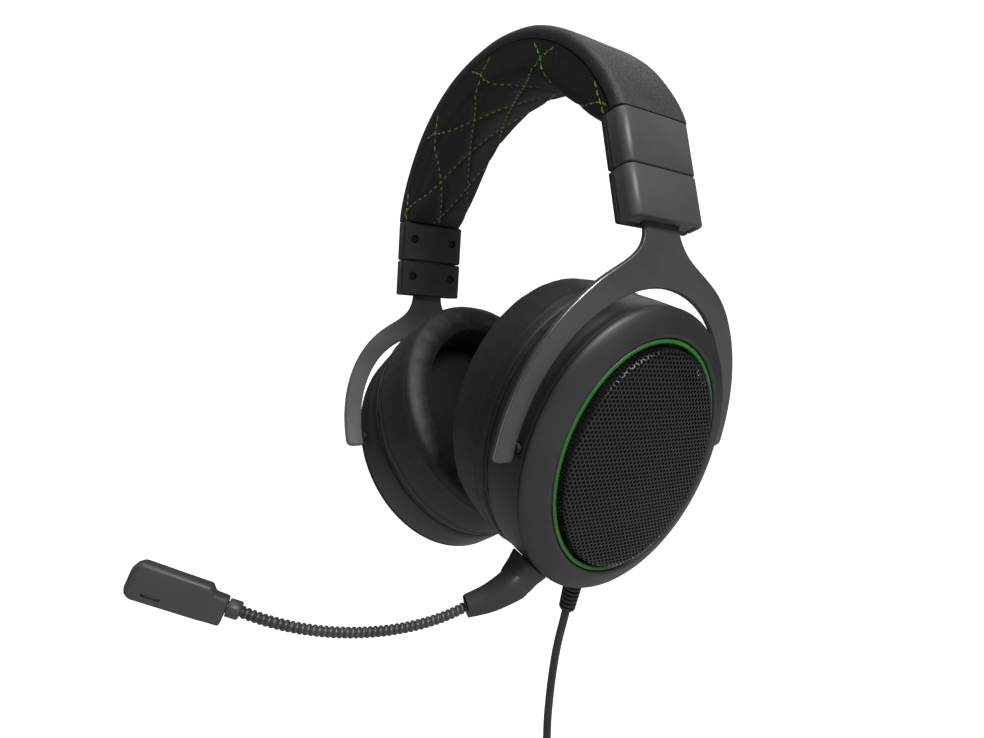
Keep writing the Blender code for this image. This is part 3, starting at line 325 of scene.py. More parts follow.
# ---------------------------------------------------------------- headband pad
# A long foam pad under the band, in leatherette that is quilted in diamonds with a
# thick yellow-green thread; the thread pulls a shallow channel into the foam.

pad_leather = make_leatherette("pad_leatherette", (0.007, 0.007, 0.0073), (0.012, 0.012, 0.0125),
                               0.0009, 0.8, 0.52)
pad_half = 0.0162
quilt_pitch, quilt_row = 0.0485, 0.0084
quilt_lean = quilt_pitch / (2 * quilt_row)
quilt_middle = band_stations(2)[1] / 2


def pad_underside(share):
    """Depth of the pad's edge below the band's outer surface: shallow at the housings."""
    end = band_place(0.0 if share < 0.5 else 1.0)[0]
    part = min((band_place(share)[0] - end).length / 0.034, 1.0)
    return 0.0100 + 0.0085 * (1 - (1 - part) ** 2)


def seam_width(part):
    """How far across the skin a seam has come at a part of the section."""
    return math.copysign(float(np.interp(abs(part), (0, 0.40, 0.90, 1.0), (0, 0.0084, 0.0168, 0.0204))), part)


def quilt_distance(run, width):
    """Distance to the nearest of the two sets of slanting seams; run is along the band."""
    nearest = 1.0
    for sign in (-1, 1):
        across = (run - quilt_middle + sign * width * quilt_lean) / quilt_pitch
        nearest = min(nearest, abs(across - round(across)) * quilt_pitch / math.hypot(1, quilt_lean))
    return nearest


def pad_point(share, run, part):
    """Point of the pad's skin; part runs from -1 at the rear lip, under the pad, to 1 at the front lip."""
    low = pad_underside(share)
    lip = cover_lip_depth + 0.0003
    side = 1 if part > 0 else -1
    reach = abs(part)
    roll = min(0.0042, (low - lip) * 0.8)
    if reach > 0.86:
        climb = (reach - 0.86) / 0.14
        width = pad_half - 0.0002 * (1 - climb)
        depth = low - roll * 0.9 + (lip - low + roll * 0.9) * climb
    elif reach > 0.62:
        turn = math.radians(90) * (reach - 0.62) / 0.24
        width = pad_half - 0.0002 - roll * (1 - math.sin(turn))
        depth = low - roll * 0.9 + roll * math.cos(turn)
    else:
        width = (pad_half - 0.0002 - roll) * reach / 0.62
        depth = low + roll * 0.1 + 0.0021 * (1 - (reach / 0.62) ** 2) * min((low - 0.0095) / 0.006, 1)
    width *= side
    sink = 0.0
    if reach < 0.97:
        seam = quilt_distance(run, seam_width(part))
        sink = 0.0006 * math.exp(-(seam / 0.0010) ** 2) - 0.0003 * min(seam / 0.004, 1)
    point, inward = band_place(share)
    at = point + inward * (depth - sink) + Vector((0, width, 0))
    return at + inward * noise.noise(at * 90) * 0.00025


def pad_mesh():
    shares, length = band_stations(301)
    parts = list(np.linspace(-1, 1, 61))
    rows = []
    for index, share in enumerate(shares):
        run = length * index / 300
        row = [pad_point(share, run, part) for part in parts]
        point, inward = band_place(share)
        for width, depth in ((0.0144, 0.0056), (0.0144, 0.0034), (-0.0144, 0.0034), (-0.0144, 0.0056)):
            row.append(point + inward * depth + Vector((0, width, 0)))
        rows.append(row)
    return skin(rows)


pad = fit_piece("headband_pad_cushion", pad_mesh(), pad_leather, "headband",
                "headband_pad", slot="leatherette", sharp=70)


def make_thread():
    made, tree, shader = new_finish("quilting_thread", 0.55, values={"Sheen Weight": 0.3})
    place = add_node(tree, "ShaderNodeTexCoord")
    twist = add_node(tree, "ShaderNodeTexWave", {"Vector": place.outputs["Object"]},
                     {"Scale": 700.0, "Distortion": 1.5}, wave_type="BANDS", bands_direction="DIAGONAL")
    tree.links.new(blend_colours(tree, twist.outputs["Fac"], (0.10, 0.27, 0.012), (0.24, 0.50, 0.035)),
                   shader.inputs["Base Color"])
    raise_surface(tree, shader, twist.outputs["Fac"], 0.6, 0.0001)
    return made


def stitch_mesh(runs, radius, long, gap):
    """Stitches along runs of (point, outward direction): short rolls of thread whose ends dive in."""
    rolls = bmesh.new()
    sides, steps = 6, 5
    for run in runs:
        places = np.array([point for point, _ in run])
        faces_out = np.array([out for _, out in run])
        along = np.concatenate([[0], np.cumsum(np.linalg.norm(np.diff(places, axis=0), axis=1))])
        count = int((along[-1] + gap) / (long + gap))
        first = (along[-1] - count * (long + gap) + gap) / 2
        for number in range(count):
            rings = []
            for step in range(steps + 1):
                part = step / steps
                at = first + number * (long + gap) + long * part
                point = Vector([np.interp(at, along, places[:, axis]) for axis in range(3)])
                ahead = Vector([np.interp(at + 1e-4, along, places[:, axis]) for axis in range(3)])
                behind = Vector([np.interp(at - 1e-4, along, places[:, axis]) for axis in range(3)])
                out = Vector([np.interp(at, along, faces_out[:, axis]) for axis in range(3)]).normalized()
                side = (ahead - behind).normalized().cross(out)
                bulge = math.sin(math.pi * part)
                centre = point + out * radius * (1.3 * bulge - 0.9)
                wide = radius * (0.55 + 0.45 * bulge)
                rings.append([rolls.verts.new(centre + (side * math.cos(math.tau * k / sides)
                                                        + out * math.sin(math.tau * k / sides)) * wide)
                              for k in range(sides)])
            for here, there in zip(rings, rings[1:]):
                for k in range(sides):
                    rolls.faces.new((here[k], here[(k + 1) % sides], there[(k + 1) % sides], there[k]))
            rolls.faces.new(rings[0][::-1])
            rolls.faces.new(rings[-1])
    bmesh.ops.recalc_face_normals(rolls, faces=rolls.faces)
    return finished_mesh(rolls)


def quilt_runs():
    """The slanting seams across the pad, as points on its underside."""
    shares, length = band_stations(301)
    stations = np.linspace(0, length, 301)
    runs = []
    for sign in (-1, 1):
        for number in range(-4, 5):
            run = []
            for part in np.linspace(-0.985, 0.985, 110):
                at = quilt_middle + number * quilt_pitch - sign * seam_width(part) * quilt_lean
                if not 0.001 < at < length - 0.001:
                    continue
                share = float(np.interp(at, stations, shares))
                run.append((pad_point(share, at, part), band_place(share)[1]))
            if len(run) > 8:
                runs.append(run)
    return runs


thread_radius, stitch_length, stitch_gap = 0.00034, 0.0024, 0.0010
fit_piece("headband_quilting", stitch_mesh(quilt_runs(), thread_radius, stitch_length, stitch_gap),
          make_thread(), "headband")


# ---------------------------------------------------------------- housings
# On each side an upper housing is fixed to the band and a lower one slides out of
# it for size.  Each is a moulded outer shell with soft front and rear edges, and a
# flat inner plate held by two blackened screws in deep holes.

side_turn = {"left": Matrix.Identity(4), "right": Matrix.Rotation(math.pi, 4, "Z")}
housing_frame = Matrix.Translation((0.086034, 0, 0.067882)) @ Matrix.Rotation(-band_lean, 4, "Y")
housing_half = 0.0165
shell_depth = 0.0069
lower_length, upper_length, housing_gap = 0.0175, 0.0192, 0.0004


def make_plastic_group():
    """Fine spark-eroded mould texture, a slow change of tone, and rubbed edges."""
    group, given, result = new_group("moulded_texture", {"Spark Size": 0.00022, "Patch Size": 0.02},
                                     ("Height", "Patch", "Rubbed"))
    place = scaled_place(group, given.outputs["Spark Size"])
    spark = add_node(group, "ShaderNodeTexNoise", {"Vector": place}, {"Scale": 1.0, "Detail": 3.0})
    wide = scaled_place(group, given.outputs["Patch Size"])
    patch = add_node(group, "ShaderNodeTexNoise", {"Vector": wide}, {"Scale": 1.0, "Detail": 4.0})
    edge = add_node(group, "ShaderNodeNewGeometry")
    rubbed = add_node(group, "ShaderNodeMapRange", {"Value": edge.outputs["Pointiness"]},
                      {"From Min": 0.52, "From Max": 0.62})
    worn = add_node(group, "ShaderNodeMath", {0: rubbed.outputs["Result"], 1: patch.outputs["Fac"]},
                    operation="MULTIPLY")
    group.links.new(spark.outputs["Fac"], result.inputs["Height"])
    group.links.new(patch.outputs["Fac"], result.inputs["Patch"])
    group.links.new(worn.outputs[0], result.inputs["Rubbed"])
    return group


plastic_group = make_plastic_group()


def make_moulded(name, dark, light, roughness, spread=(-0.05, 0.07), rubbed=None, metallic=0.0, values=(),
                 spark=0.00022, patch_size=0.02, patch_limits=(0.35, 0.65), strength=0.35, depth=0.00005):
    """A finely textured surface, dark to light in slow patches; rubbed is the tone of its edges."""
    made, tree, shader = new_finish(name, roughness, metallic, values)
    surface = add_node(tree, "ShaderNodeGroup", node_tree=plastic_group)
    surface.inputs["Spark Size"].default_value = spark
    surface.inputs["Patch Size"].default_value = patch_size
    patch = surface.outputs["Patch"]
    tone = blend_colours(tree, spread_values(tree, patch, 0.0, 1.0, *patch_limits), dark, light)
    if rubbed is not None:
        tone = blend_colours(tree, surface.outputs["Rubbed"], tone, rubbed)
    tree.links.new(tone, shader.inputs["Base Color"])
    tree.links.new(spread_values(tree, patch, roughness + spread[0], roughness + spread[1]),
                   shader.inputs["Roughness"])
    raise_surface(tree, shader, surface.outputs["Height"], strength, depth)
    return made


def make_plastic(name, dark, light, roughness):
    return make_moulded(name, dark, light, roughness, rubbed=tuple(min(part * 1.8, 1) for part in light))


housing_plastic = make_plastic("housing_plastic", (0.056, 0.056, 0.057), (0.066, 0.066, 0.067), 0.42)
plate_plastic = make_plastic("inner_plate_plastic", (0.014, 0.014, 0.014), (0.020, 0.020, 0.020), 0.50)
deep_plastic = make_plastic("unseen_plastic", (0.008, 0.008, 0.008), (0.012, 0.012, 0.012), 0.6)
black_screw = make_steel("blackened_screw", (0.03, 0.03, 0.03), 0.45, (6000, 6000, 900))


def housing_section(inset):
    """The shell's channel: outer skin with round front and rear corners, then the inside wall."""
    corner, half = 0.0034, housing_half - inset
    outer = [(-shell_depth, half)]
    for step in range(9):
        turn = math.radians(90) * step / 8
        outer.append((-corner + (corner - inset) * math.sin(turn), half - corner + corner * math.cos(turn)))
    outer.append((-inset + 0.00008, half * 0.4))
    inner = [(-0.0018, housing_half - 0.0040), (-0.0026, housing_half - 0.0024),
             (-shell_depth, housing_half - 0.0022)]
    rear = outer + [(-inset + 0.0001, 0)]
    front = [(x, -y) for x, y in reversed(outer)]
    inside = [(x, -y) for x, y in reversed(inner)] + inner
    return rear + front + inside


def housing_shell_mesh(low, high):
    rows = []
    for height, inset in ((low, 0.0006), (low + 0.0002, 0.00022), (low + 0.0006, 0.0),
                          ((low + high) / 2, 0.0), (high - 0.0006, 0.0), (high - 0.0002, 0.00022),
                          (high, 0.0006)):
        rows.append([Vector((x, y, height)) for x, y in housing_section(inset)])
    return skin(rows)


def soft_rectangle(half_x, half_y, corner, steps=5):
    """Points of a rectangle with round corners about the origin."""
    points = []
    for quarter, (sx, sy) in enumerate(((1, 1), (-1, 1), (-1, -1), (1, -1))):
        for step in range(steps):
            turn = math.radians(90) * (quarter + step / (steps - 1))
            points.append((sx * (half_x - corner) + corner * math.cos(turn),
                           sy * (half_y - corner) + corner * math.sin(turn)))
    return points


def join_meshes(*meshes):
    whole = bmesh.new()
    for mesh in meshes:
        whole.from_mesh(mesh)
        bpy.data.meshes.remove(mesh)
    return finished_mesh(whole)


def neck_floor_mesh():
    """The lower shell's floor with the slot that the yoke's neck passes through."""
    middle_x, low, high = -0.0043, 0.0004, 0.0020
    rows = []
    for height, half_x, half_y in ((low, 0.0026, 0.0141), (high, 0.0026, 0.0141), (high, 0.0016, 0.0085),
                                   (low, 0.0016, 0.0085)):
        slot_shift = -0.0012 if half_y < 0.01 else 0
        rows.append([Vector((middle_x + slot_shift + x, y, height))
                     for x, y in soft_rectangle(half_x, half_y, 0.0006)])
    return skin(rows, loop=True)


def moved(mesh, matrix):
    mesh.transform(matrix)
    return mesh


upper_low = lower_length + housing_gap
for side, turn in side_turn.items():
    upper = housing_shell_mesh(upper_low, upper_low + upper_length)
    lower = join_meshes(housing_shell_mesh(0, lower_length), neck_floor_mesh())
    for level, mesh, body in (("upper", upper, "headband"), ("lower", lower, f"slider_{side}")):
        fit_piece(f"{level}_shell_{side}", moved(mesh, turn @ housing_frame), housing_plastic, body,
                  f"{level}_housing_shell_{side}", slot="shell_plastic", sharp=40)
        dress_nodes((f"{level}_housing_plate_{side}",), plate_plastic, soft_edge=0.00018)
        dress_nodes((f"{level}_screw_front_{side}", f"{level}_screw_rear_{side}"), black_screw)


# ---------------------------------------------------------------- yokes
# Each yoke is one pressed metal plate, painted satin charcoal: a neck that goes up
# into the lower housing, flared into a fork whose two arms hold the cup at mid
# height.  Its rim carries a painted highlight: the bevel faces take a light steel colour.

cup_lean = math.radians(22)
cup_half_depth, cup_half_height = 0.0445, 0.0525
cup_frame = Matrix.Translation((0.0432, 0, 0)) @ Matrix.Rotation(cup_lean, 4, "Y")
yoke_thickness = 0.0022
arm_gap, arm_width, window_height, crown_width = 0.0015, 0.0076, 0.0044, 0.0104
pivot_height, arm_tip_drop, neck_half, yoke_plane = 0.0030, 0.0045, 0.0080, 0.0170
bend_height, bend_tangent, neck_rise = 0.063388, 0.0130, 0.014846
neck_end = 0.0115


def arc_point(grow_depth, grow_height, angle):
    return Vector(((cup_half_depth + grow_depth) * math.cos(angle),
                   (cup_half_height + grow_height) * math.sin(angle)))


def yoke_outline(neck_top):
    """The flat yoke's outline, front to back and up, from its rear half and the mirrored one."""
    tip = pivot_height - arm_tip_drop
    inner = [arc_point(arm_gap, window_height, math.radians(90) * (1 - step / 24)) for step in range(24)]
    foot_in = Vector((cup_half_depth + arm_gap, tip))
    foot_out = Vector((cup_half_depth + arm_gap + arm_width, tip))
    inner += [foot_in + Vector(step) for step in ((0, 0.0010), (0.0003, 0.0003), (0.0010, 0))]
    outer = [foot_out + Vector(step)
             for step in ((-0.0026, 0), (-0.0012, 0.0004), (-0.0004, 0.0012), (0, 0.0026))]
    reach = (arm_gap + arm_width, window_height + crown_width)
    outer += [arc_point(*reach, math.radians(63) * step / 20) for step in range(2, 21)]
    start = outer[-1]
    corner = Vector((neck_half, cup_half_height + window_height + crown_width + 0.0116))
    leave = (arc_point(*reach, math.radians(63) + 0.01) - start).normalized() * (corner - start).length * 0.5
    arrive = Vector((0, -0.42)) * (corner - start).length
    flare = []
    for step in range(1, 17):
        along = step / 16
        rest = 1 - along
        flare.append(start * rest**3 + (start + leave) * 3 * rest**2 * along
                     + (corner + arrive) * 3 * rest * along**2 + corner * along**3)
    half = inner[1:] + outer + flare + [Vector((neck_half, neck_top))]
    return [inner[0]] + half + [Vector((-point.x, point.y)) for point in reversed(half)]


def yoke_place(height, offset):
    """Where a point of the flat yoke goes once its neck is bent upright; offset is towards the outside."""
    fork = Vector((math.sin(cup_lean), 0, math.cos(cup_lean)))
    outward = Vector((fork.z, 0, -fork.x))
    turn = cup_lean + band_lean
    radius = bend_tangent / math.tan(turn / 2)
    start = bend_height - bend_tangent
    angle = min(max((height - start) / radius, 0), turn)
    base = cup_frame @ Vector((yoke_plane, 0, 0)) + fork * min(height, start)
    base += fork * radius * math.sin(angle) - outward * radius * (1 - math.cos(angle))
    ahead = fork * math.cos(angle) - outward * math.sin(angle)
    out = outward * math.cos(angle) + fork * math.sin(angle)
    return base + ahead * max(height - start - radius * turn, 0) + out * offset


def yoke_mesh():
    turn = cup_lean + band_lean
    run = bend_tangent / math.tan(turn / 2) * turn
    start = bend_height - bend_tangent
    neck_top = start + run + neck_rise - bend_tangent + neck_end
    plate = bmesh.new()
    outline = [plate.verts.new((point.x, point.y, -yoke_thickness / 2)) for point in yoke_outline(neck_top)]
    face = plate.faces.new(outline)
    lifted = bmesh.ops.extrude_face_region(plate, geom=[face])["geom"]
    bmesh.ops.translate(plate, vec=(0, 0, yoke_thickness),
                        verts=[part for part in lifted if isinstance(part, bmesh.types.BMVert)])
    rim = [edge for edge in plate.edges if edge.verts[0].co.z == edge.verts[1].co.z]
    bmesh.ops.bevel(plate, geom=rim, offset=0.0005, segments=3, affect="EDGES")
    for part in plate.faces:
        # Bevel faces take material 1, the painted highlight along the rim.
        part.normal_update()
        part.material_index = 1 if 0.1 < part.normal.z < 0.97 else 0
    for step in range(25):
        bmesh.ops.bisect_plane(plate, geom=plate.verts[:] + plate.edges[:] + plate.faces[:],
                               plane_co=(0, start + run * step / 24, 0), plane_no=(0, 1, 0), dist=1e-6)
    for vert in plate.verts:
        width, height, offset = vert.co
        point = yoke_place(height, offset)
        vert.co = (point.x, width, point.z)
    bmesh.ops.recalc_face_normals(plate, faces=plate.faces)
    return finished_mesh(plate)


yoke_paint = make_moulded("yoke_satin_paint", (0.072, 0.072, 0.073), (0.090, 0.090, 0.092), 0.36,
                          (-0.06, 0.06), metallic=0.35, values={"Coat Weight": 0.12, "Coat Roughness": 0.3},
                          spark=0.0003, strength=0.2, depth=0.00004)
# Painted highlight: a light steel colour on the bevel faces draws the bright line along the yoke's rim.
rim_painted_highlight = make_steel("yoke_rim_painted_highlight", (0.30, 0.30, 0.31), 0.34, (900, 900, 900))
for side, turn in side_turn.items():
    yoke = fit_piece(f"yoke_plate_{side}", moved(yoke_mesh(), turn), yoke_paint,
                     f"slider_{side}", f"yoke_{side}", slot="painted_metal", sharp=25)
    yoke.data.materials.append(rim_painted_highlight)
    dress_nodes((f"pivot_pin_front_{side}", f"pivot_pin_rear_{side}"), deep_plastic)


# ---------------------------------------------------------------- cup shells
# The body of each cup is a deep oval ring moulded in dark plastic, with a soft edge
# at the front and the rear.  The left one has the holes for the controls.

shell_inner, shell_outer, shell_wall = 0.0016, 0.0206, 0.0026
cup_plastic = make_plastic("cup_plastic", (0.011, 0.011, 0.011), (0.016, 0.016, 0.016), 0.42)
bezel_plastic = make_plastic("bezel_plastic", (0.019, 0.019, 0.0195), (0.025, 0.025, 0.0255), 0.42)


def oval_band(profile, steps=144):
    """A ring whose section, given as outset and depth, is carried round the cup's oval."""
    rows = []
    for step in range(steps):
        angle = math.tau * step / steps
        rows.append([Vector((depth, *arc_point(outset, outset, angle))) for outset, depth in profile])
    return skin(rows, loop=True)


def cut_from(mesh, cutters):
    """Take the cutters' shapes away from a mesh and return the result."""
    body = bpy.data.objects.new("cut_body", mesh)
    bpy.context.collection.objects.link(body)
    tools = []
    for cutter in cutters:
        tool = bpy.data.objects.new("cutter", cutter)
        bpy.context.collection.objects.link(tool)
        tools.append(tool)
        step = body.modifiers.new("cut", "BOOLEAN")
        step.operation = "DIFFERENCE"
        step.solver = "EXACT"
        step.object = tool
    result = bpy.data.meshes.new_from_object(body.evaluated_get(bpy.context.evaluated_depsgraph_get()))
    for used in [body] + tools:
        used_mesh = used.data
        bpy.data.objects.remove(used)
        bpy.data.meshes.remove(used_mesh)
    result.shade_smooth()
    return result


def axis_place(base, along, across):
    """Frame whose x runs along and whose y lies nearest to across."""
    x = Vector(along).normalized()
    z = x.cross(Vector(across)).normalized()
    y = z.cross(x)
    return Matrix.Translation(base) @ Matrix((x, y, z)).transposed().to_4x4()


def round_bar(place, start, end, radius, steps=40):
    """A plain round bar along the place's x axis, used as a cutter."""
    turns = [math.tau * step / steps for step in range(steps)]
    rows = [[Vector((along, radius * math.cos(turn), radius * math.sin(turn))) for turn in turns]
            for along in (start, end)]
    return moved(skin(rows), place)


def fit_cup_piece(side, name, mesh, finish, *nodes, **settings):
    """Fit a mesh that is made in the cup's own frame on one side's cup."""
    return fit_piece(f"{name}_{side}", moved(mesh, side_turn[side] @ cup_frame), finish, f"cup_{side}",
                     *(f"{node}_{side}" for node in nodes), **settings)


cup_outward = Vector((math.cos(cup_lean), 0, -math.sin(cup_lean)))
cup_down = Vector((-math.sin(cup_lean), 0, -math.cos(cup_lean)))
wheel_place = axis_place((0.044222, 0.03243, -0.025501), cup_outward, (-0.164662, 0.898213, -0.407554))
button_place = axis_place((0.036257, 0.023581, -0.045214), (-0.301527, 0.593389, -0.746305), cup_outward)
mic_place = axis_place((0.038296, -0.024236, -0.045507), (-0.297364, -0.608176, -0.736001),
                       (-0.227827, 0.793802, -0.563891))
relief_place = axis_place((0.034381, 0, -0.053060), cup_down, (0, 1, 0))

shell_profile = [(-0.0012, shell_inner), (-0.0004, shell_inner + 0.0003), (0, shell_inner + 0.0010),
                 (0.0001, 0.0080), (0.0001, 0.0140), (0, shell_outer - 0.0009), (-0.0002, shell_outer - 0.0003),
                 (-0.0007, shell_outer), (-0.0070, shell_outer), (-0.0070, shell_outer - 0.0014),
                 (-shell_wall, shell_outer - 0.0014), (-shell_wall, shell_inner)]
for side, turn in side_turn.items():
    place = turn @ cup_frame
    cutters = []
    for sign in (-1, 1):
        bore = axis_place((yoke_plane, sign * cup_half_depth, pivot_height), (0, 1, 0), (1, 0, 0))
        cutters.append(round_bar(place @ bore, -0.0040, 0.0020, 0.0021, 24))
    if side == "left":
        cutters += [round_bar(hole_place, start, end, radius) for hole_place, start, end, radius in (
            (wheel_place, -0.0022, 0.0022, 0.0084), (button_place, -0.0090, 0.0040, 0.0035),
            (mic_place, -0.0100, 0.0040, 0.0038), (relief_place, -0.0080, 0.0040, 0.0040))]
    shell = cut_from(moved(oval_band(shell_profile), place), cutters)
    fit_piece(f"cup_body_{side}", shell, cup_plastic, f"cup_{side}", f"cup_shell_{side}",
              slot="shell_plastic", sharp=35)


# ---------------------------------------------------------------- bezels and accent rings
# A wide, gently sloped bezel snaps on the outside of each cup; a thin green ring
# lines its inner lip and a dark floor closes the recess behind it.

bezel_profile = [(-0.0004, 0.0209), (-0.0001, 0.0211), (0, 0.0215), (-0.0001, 0.0219), (-0.0006, 0.0225),
                 (-0.0014, 0.0231), (-0.0026, 0.0238), (-0.0042, 0.0246), (-0.0060, 0.0254), (-0.0076, 0.0261),
                 (-0.0085, 0.0264), (-0.0091, 0.0263), (-0.0095, 0.0260), (-0.0096, 0.0254), (-0.0096, 0.0209),
                 (-0.0078, 0.0209), (-0.0078, 0.0240), (-0.0030, 0.0212)]
ring_profile = [(-0.0099, 0.0237), (-0.0099, 0.0258), (-0.0101, 0.0261), (-0.0112, 0.0261), (-0.0114, 0.0258),
                (-0.0114, 0.0237)]


accent_green = make_moulded("accent_green", (0.020, 0.130, 0.018), (0.030, 0.180, 0.026), 0.38,
                            (-0.08, 0.08), strength=0.15, depth=0.00003)
floor_profile = ((-0.0098, 0.0201), (-0.0098, 0.0206), (-0.0180, 0.0207))
for side in side_turn:
    fit_cup_piece(side, "bezel", oval_band(bezel_profile), bezel_plastic, "cup_bezel",
                  slot="shell_plastic", sharp=50)
    fit_cup_piece(side, "green_ring", oval_band(ring_profile), accent_green, "accent_ring",
                  slot="green_plastic", sharp=60)
    floor_rows = [[Vector((depth, *arc_point(outset, outset, math.tau * step / 96))) for step in range(96)]
                  for outset, depth in floor_profile]
    fit_cup_piece(side, "recess_floor", skin(floor_rows), deep_plastic, slot="dark_plastic", sharp=40)


# ---------------------------------------------------------------- grilles
# Each grille is a pressed sheet, domed with a tightly rounded edge and punched with
# close hexagonal holes down to a plain skirt; it is painted satin black.

grille_edge, grille_foot = -0.0127, 0.0209
hole_pitch = 0.00165
corner_start, corner_radius = 0.0018, 0.0018
wall_start = -corner_start + corner_radius * math.pi / 2
plain_skirt, skirt_wall, grille_gauge = 0.0030, 0.0006, 0.0005
hole_limit = wall_start + plain_skirt
dome_rim, dome_rise = 0.0291, 0.0010


def sheet_point(reach, angle):
    """Point of the grille's sheet; reach is the flat distance past its rounded edge, negative inside."""
    if reach <= -corner_start:
        share = min(max(1 + (reach + corner_start) / 0.030, 0), 1)
        outset, depth = grille_edge + reach, dome_rim + dome_rise * (1 - share**2)
    elif reach < wall_start:
        turn = (reach + corner_start) / corner_radius
        outset = grille_edge - corner_start + corner_radius * math.sin(turn)
        depth = dome_rim - corner_radius * (1 - math.cos(turn))
    else:
        outset, depth = grille_edge, dome_rim - corner_radius - (reach - wall_start)
    return Vector((depth, *arc_point(outset, outset, angle)))


def flat_to_sheet(across, up):
    """Lay a point of the flat punched pattern on the sheet; the pattern stops at the hole limit."""
    low, high = -cup_half_depth + 0.0005, 0.010
    for _ in range(40):
        middle = (low + high) / 2
        inside = (across / (cup_half_depth + middle)) ** 2 + (up / (cup_half_height + middle)) ** 2 < 1
        low, high = (low, middle) if inside else (middle, high)
    outset = (low + high) / 2
    angle = math.atan2(up / (cup_half_height + outset), across / (cup_half_depth + outset))
    reach = outset - grille_edge
    if reach <= -corner_start:
        return Vector((sheet_point(reach, angle).x, across, up)), False
    return sheet_point(min(reach, hole_limit), angle), reach > hole_limit


def grille_mesh():
    """Hexagonal cells side by side, each a frame of six strips round a hexagonal hole."""
    made = bmesh.new()
    outer_size, inner_size = hole_pitch / math.sqrt(3), hole_pitch / math.sqrt(3) * 0.74
    known = {}

    def corner(across, up):
        key = (round(across * 1e6), round(up * 1e6))
        if key not in known:
            point, past = flat_to_sheet(across, up)
            known[key] = (made.verts.new(point), past)
        return known[key]

    rows = int(0.046 / (hole_pitch * math.sqrt(3) / 2)) + 1
    for row in range(-rows, rows + 1):
        for column in range(-28, 29):
            centre = ((column + (row % 2) / 2) * hole_pitch, row * hole_pitch * math.sqrt(3) / 2)
            if math.hypot(centre[0] / (cup_half_depth - 0.0070),
                          centre[1] / (cup_half_height - 0.0070)) > 1.02:
                continue
            outer, inner = [], []
            for step in range(6):
                turn = math.radians(60 * step + 30)
                outer.append(corner(round(centre[0] + outer_size * math.cos(turn), 6),
                                    round(centre[1] + outer_size * math.sin(turn), 6)))
                inner.append(corner(centre[0] + inner_size * math.cos(turn),
                                    centre[1] + inner_size * math.sin(turn)))
            if all(past for _, past in outer):
                continue
            for step in range(6):
                after = (step + 1) % 6
                face = (outer[step][0], outer[after][0], inner[after][0], inner[step][0])
                if len(set(face)) == 4:
                    made.faces.new(face)
    bmesh.ops.remove_doubles(made, verts=made.verts, dist=0.00003)
    bmesh.ops.delete(made, geom=[vert for vert in made.verts if not vert.link_faces], context="VERTS")
    slivers = [face for face in made.faces if face.calc_area() < 2e-9]
    bmesh.ops.delete(made, geom=slivers, context="FACES")
    bmesh.ops.recalc_face_normals(made, faces=made.faces)
    if sum(face.normal.x for face in made.faces) < 0:
        bmesh.ops.reverse_faces(made, faces=made.faces)
    return finished_mesh(made, smooth=False)


grille_paint = make_moulded("grille_black_paint", (0.004, 0.004, 0.004), (0.007, 0.007, 0.007), 0.34,
                            (-0.06, 0.10), rubbed=(0.03, 0.03, 0.03),
                            values={"Coat Weight": 0.2, "Coat Roughness": 0.35},
                            strength=0.2, depth=0.00003)
skirt_top = dome_rim - corner_radius - plain_skirt + 0.0001
skirt_profile = [(grille_edge, grille_foot), (grille_edge, skirt_top),
                 (grille_edge - skirt_wall, skirt_top), (grille_edge - skirt_wall, grille_foot)]
for side in side_turn:
    sheet = fit_cup_piece(side, "grille_sheet", grille_mesh(), grille_paint, "grille", slot="grille_sheet")
    gauge = sheet.modifiers.new("gauge", "SOLIDIFY")
    gauge.thickness = grille_gauge
    gauge.offset = -1
    fit_cup_piece(side, "grille_skirt", oval_band(skirt_profile), grille_paint, slot="grille_sheet", sharp=40)


# ---------------------------------------------------------------- drivers and baffles
# Behind each cushion a moulded baffle carries the 50 mm driver; a taut black cloth
# covers them inside the cushion's opening.

def make_weave_group():
    """Plain knit: two crossing sets of fine threads, and a mask of the holes between them."""
    group, given, result = new_group("fine_knit", {"Thread Size": 0.0007}, ("Height", "Hole"))
    place = scaled_place(group, given.outputs["Thread Size"])
    parts = add_node(group, "ShaderNodeSeparateXYZ", {"Vector": place})
    waves = []
    for axis in ("Y", "Z"):
        turn = add_node(group, "ShaderNodeMath", {0: parts.outputs[axis]}, {1: math.tau},
                        operation="MULTIPLY")
        wave = add_node(group, "ShaderNodeMath", {0: turn.outputs[0]}, operation="SINE")
        size = add_node(group, "ShaderNodeMath", {0: wave.outputs[0]}, operation="ABSOLUTE")
        waves.append(size.outputs[0])
    height = add_node(group, "ShaderNodeMath", {0: waves[0], 1: waves[1]}, operation="MULTIPLY")
    hole = add_node(group, "ShaderNodeMapRange", {"Value": height.outputs[0]},
                    {"From Min": 0.35, "From Max": 0.75})
    group.links.new(height.outputs[0], result.inputs["Height"])
    group.links.new(hole.outputs["Result"], result.inputs["Hole"])
    return group


weave_group = make_weave_group()


def make_cloth():
    made, tree, shader = new_finish("driver_cloth", 0.9, values={"Sheen Weight": 0.15})
    weave = add_node(tree, "ShaderNodeGroup", node_tree=weave_group)
    tree.links.new(blend_colours(tree, weave.outputs["Hole"], (0.016, 0.016, 0.016), (0.003, 0.003, 0.003)),
                   shader.inputs["Base Color"])
    raise_surface(tree, shader, weave.outputs["Height"], 0.6, 0.0002)
    return made


driver_cloth = make_cloth()
dress_nodes(("baffle_left", "driver_left", "baffle_right", "driver_right"), deep_plastic)


# ---------------------------------------------------------------- ear cushions
# A soft oval ring of foam in smooth black leatherette, sewn from a face panel and a
# side panel; a corded seam runs round the outside and fine puckers gather at it.

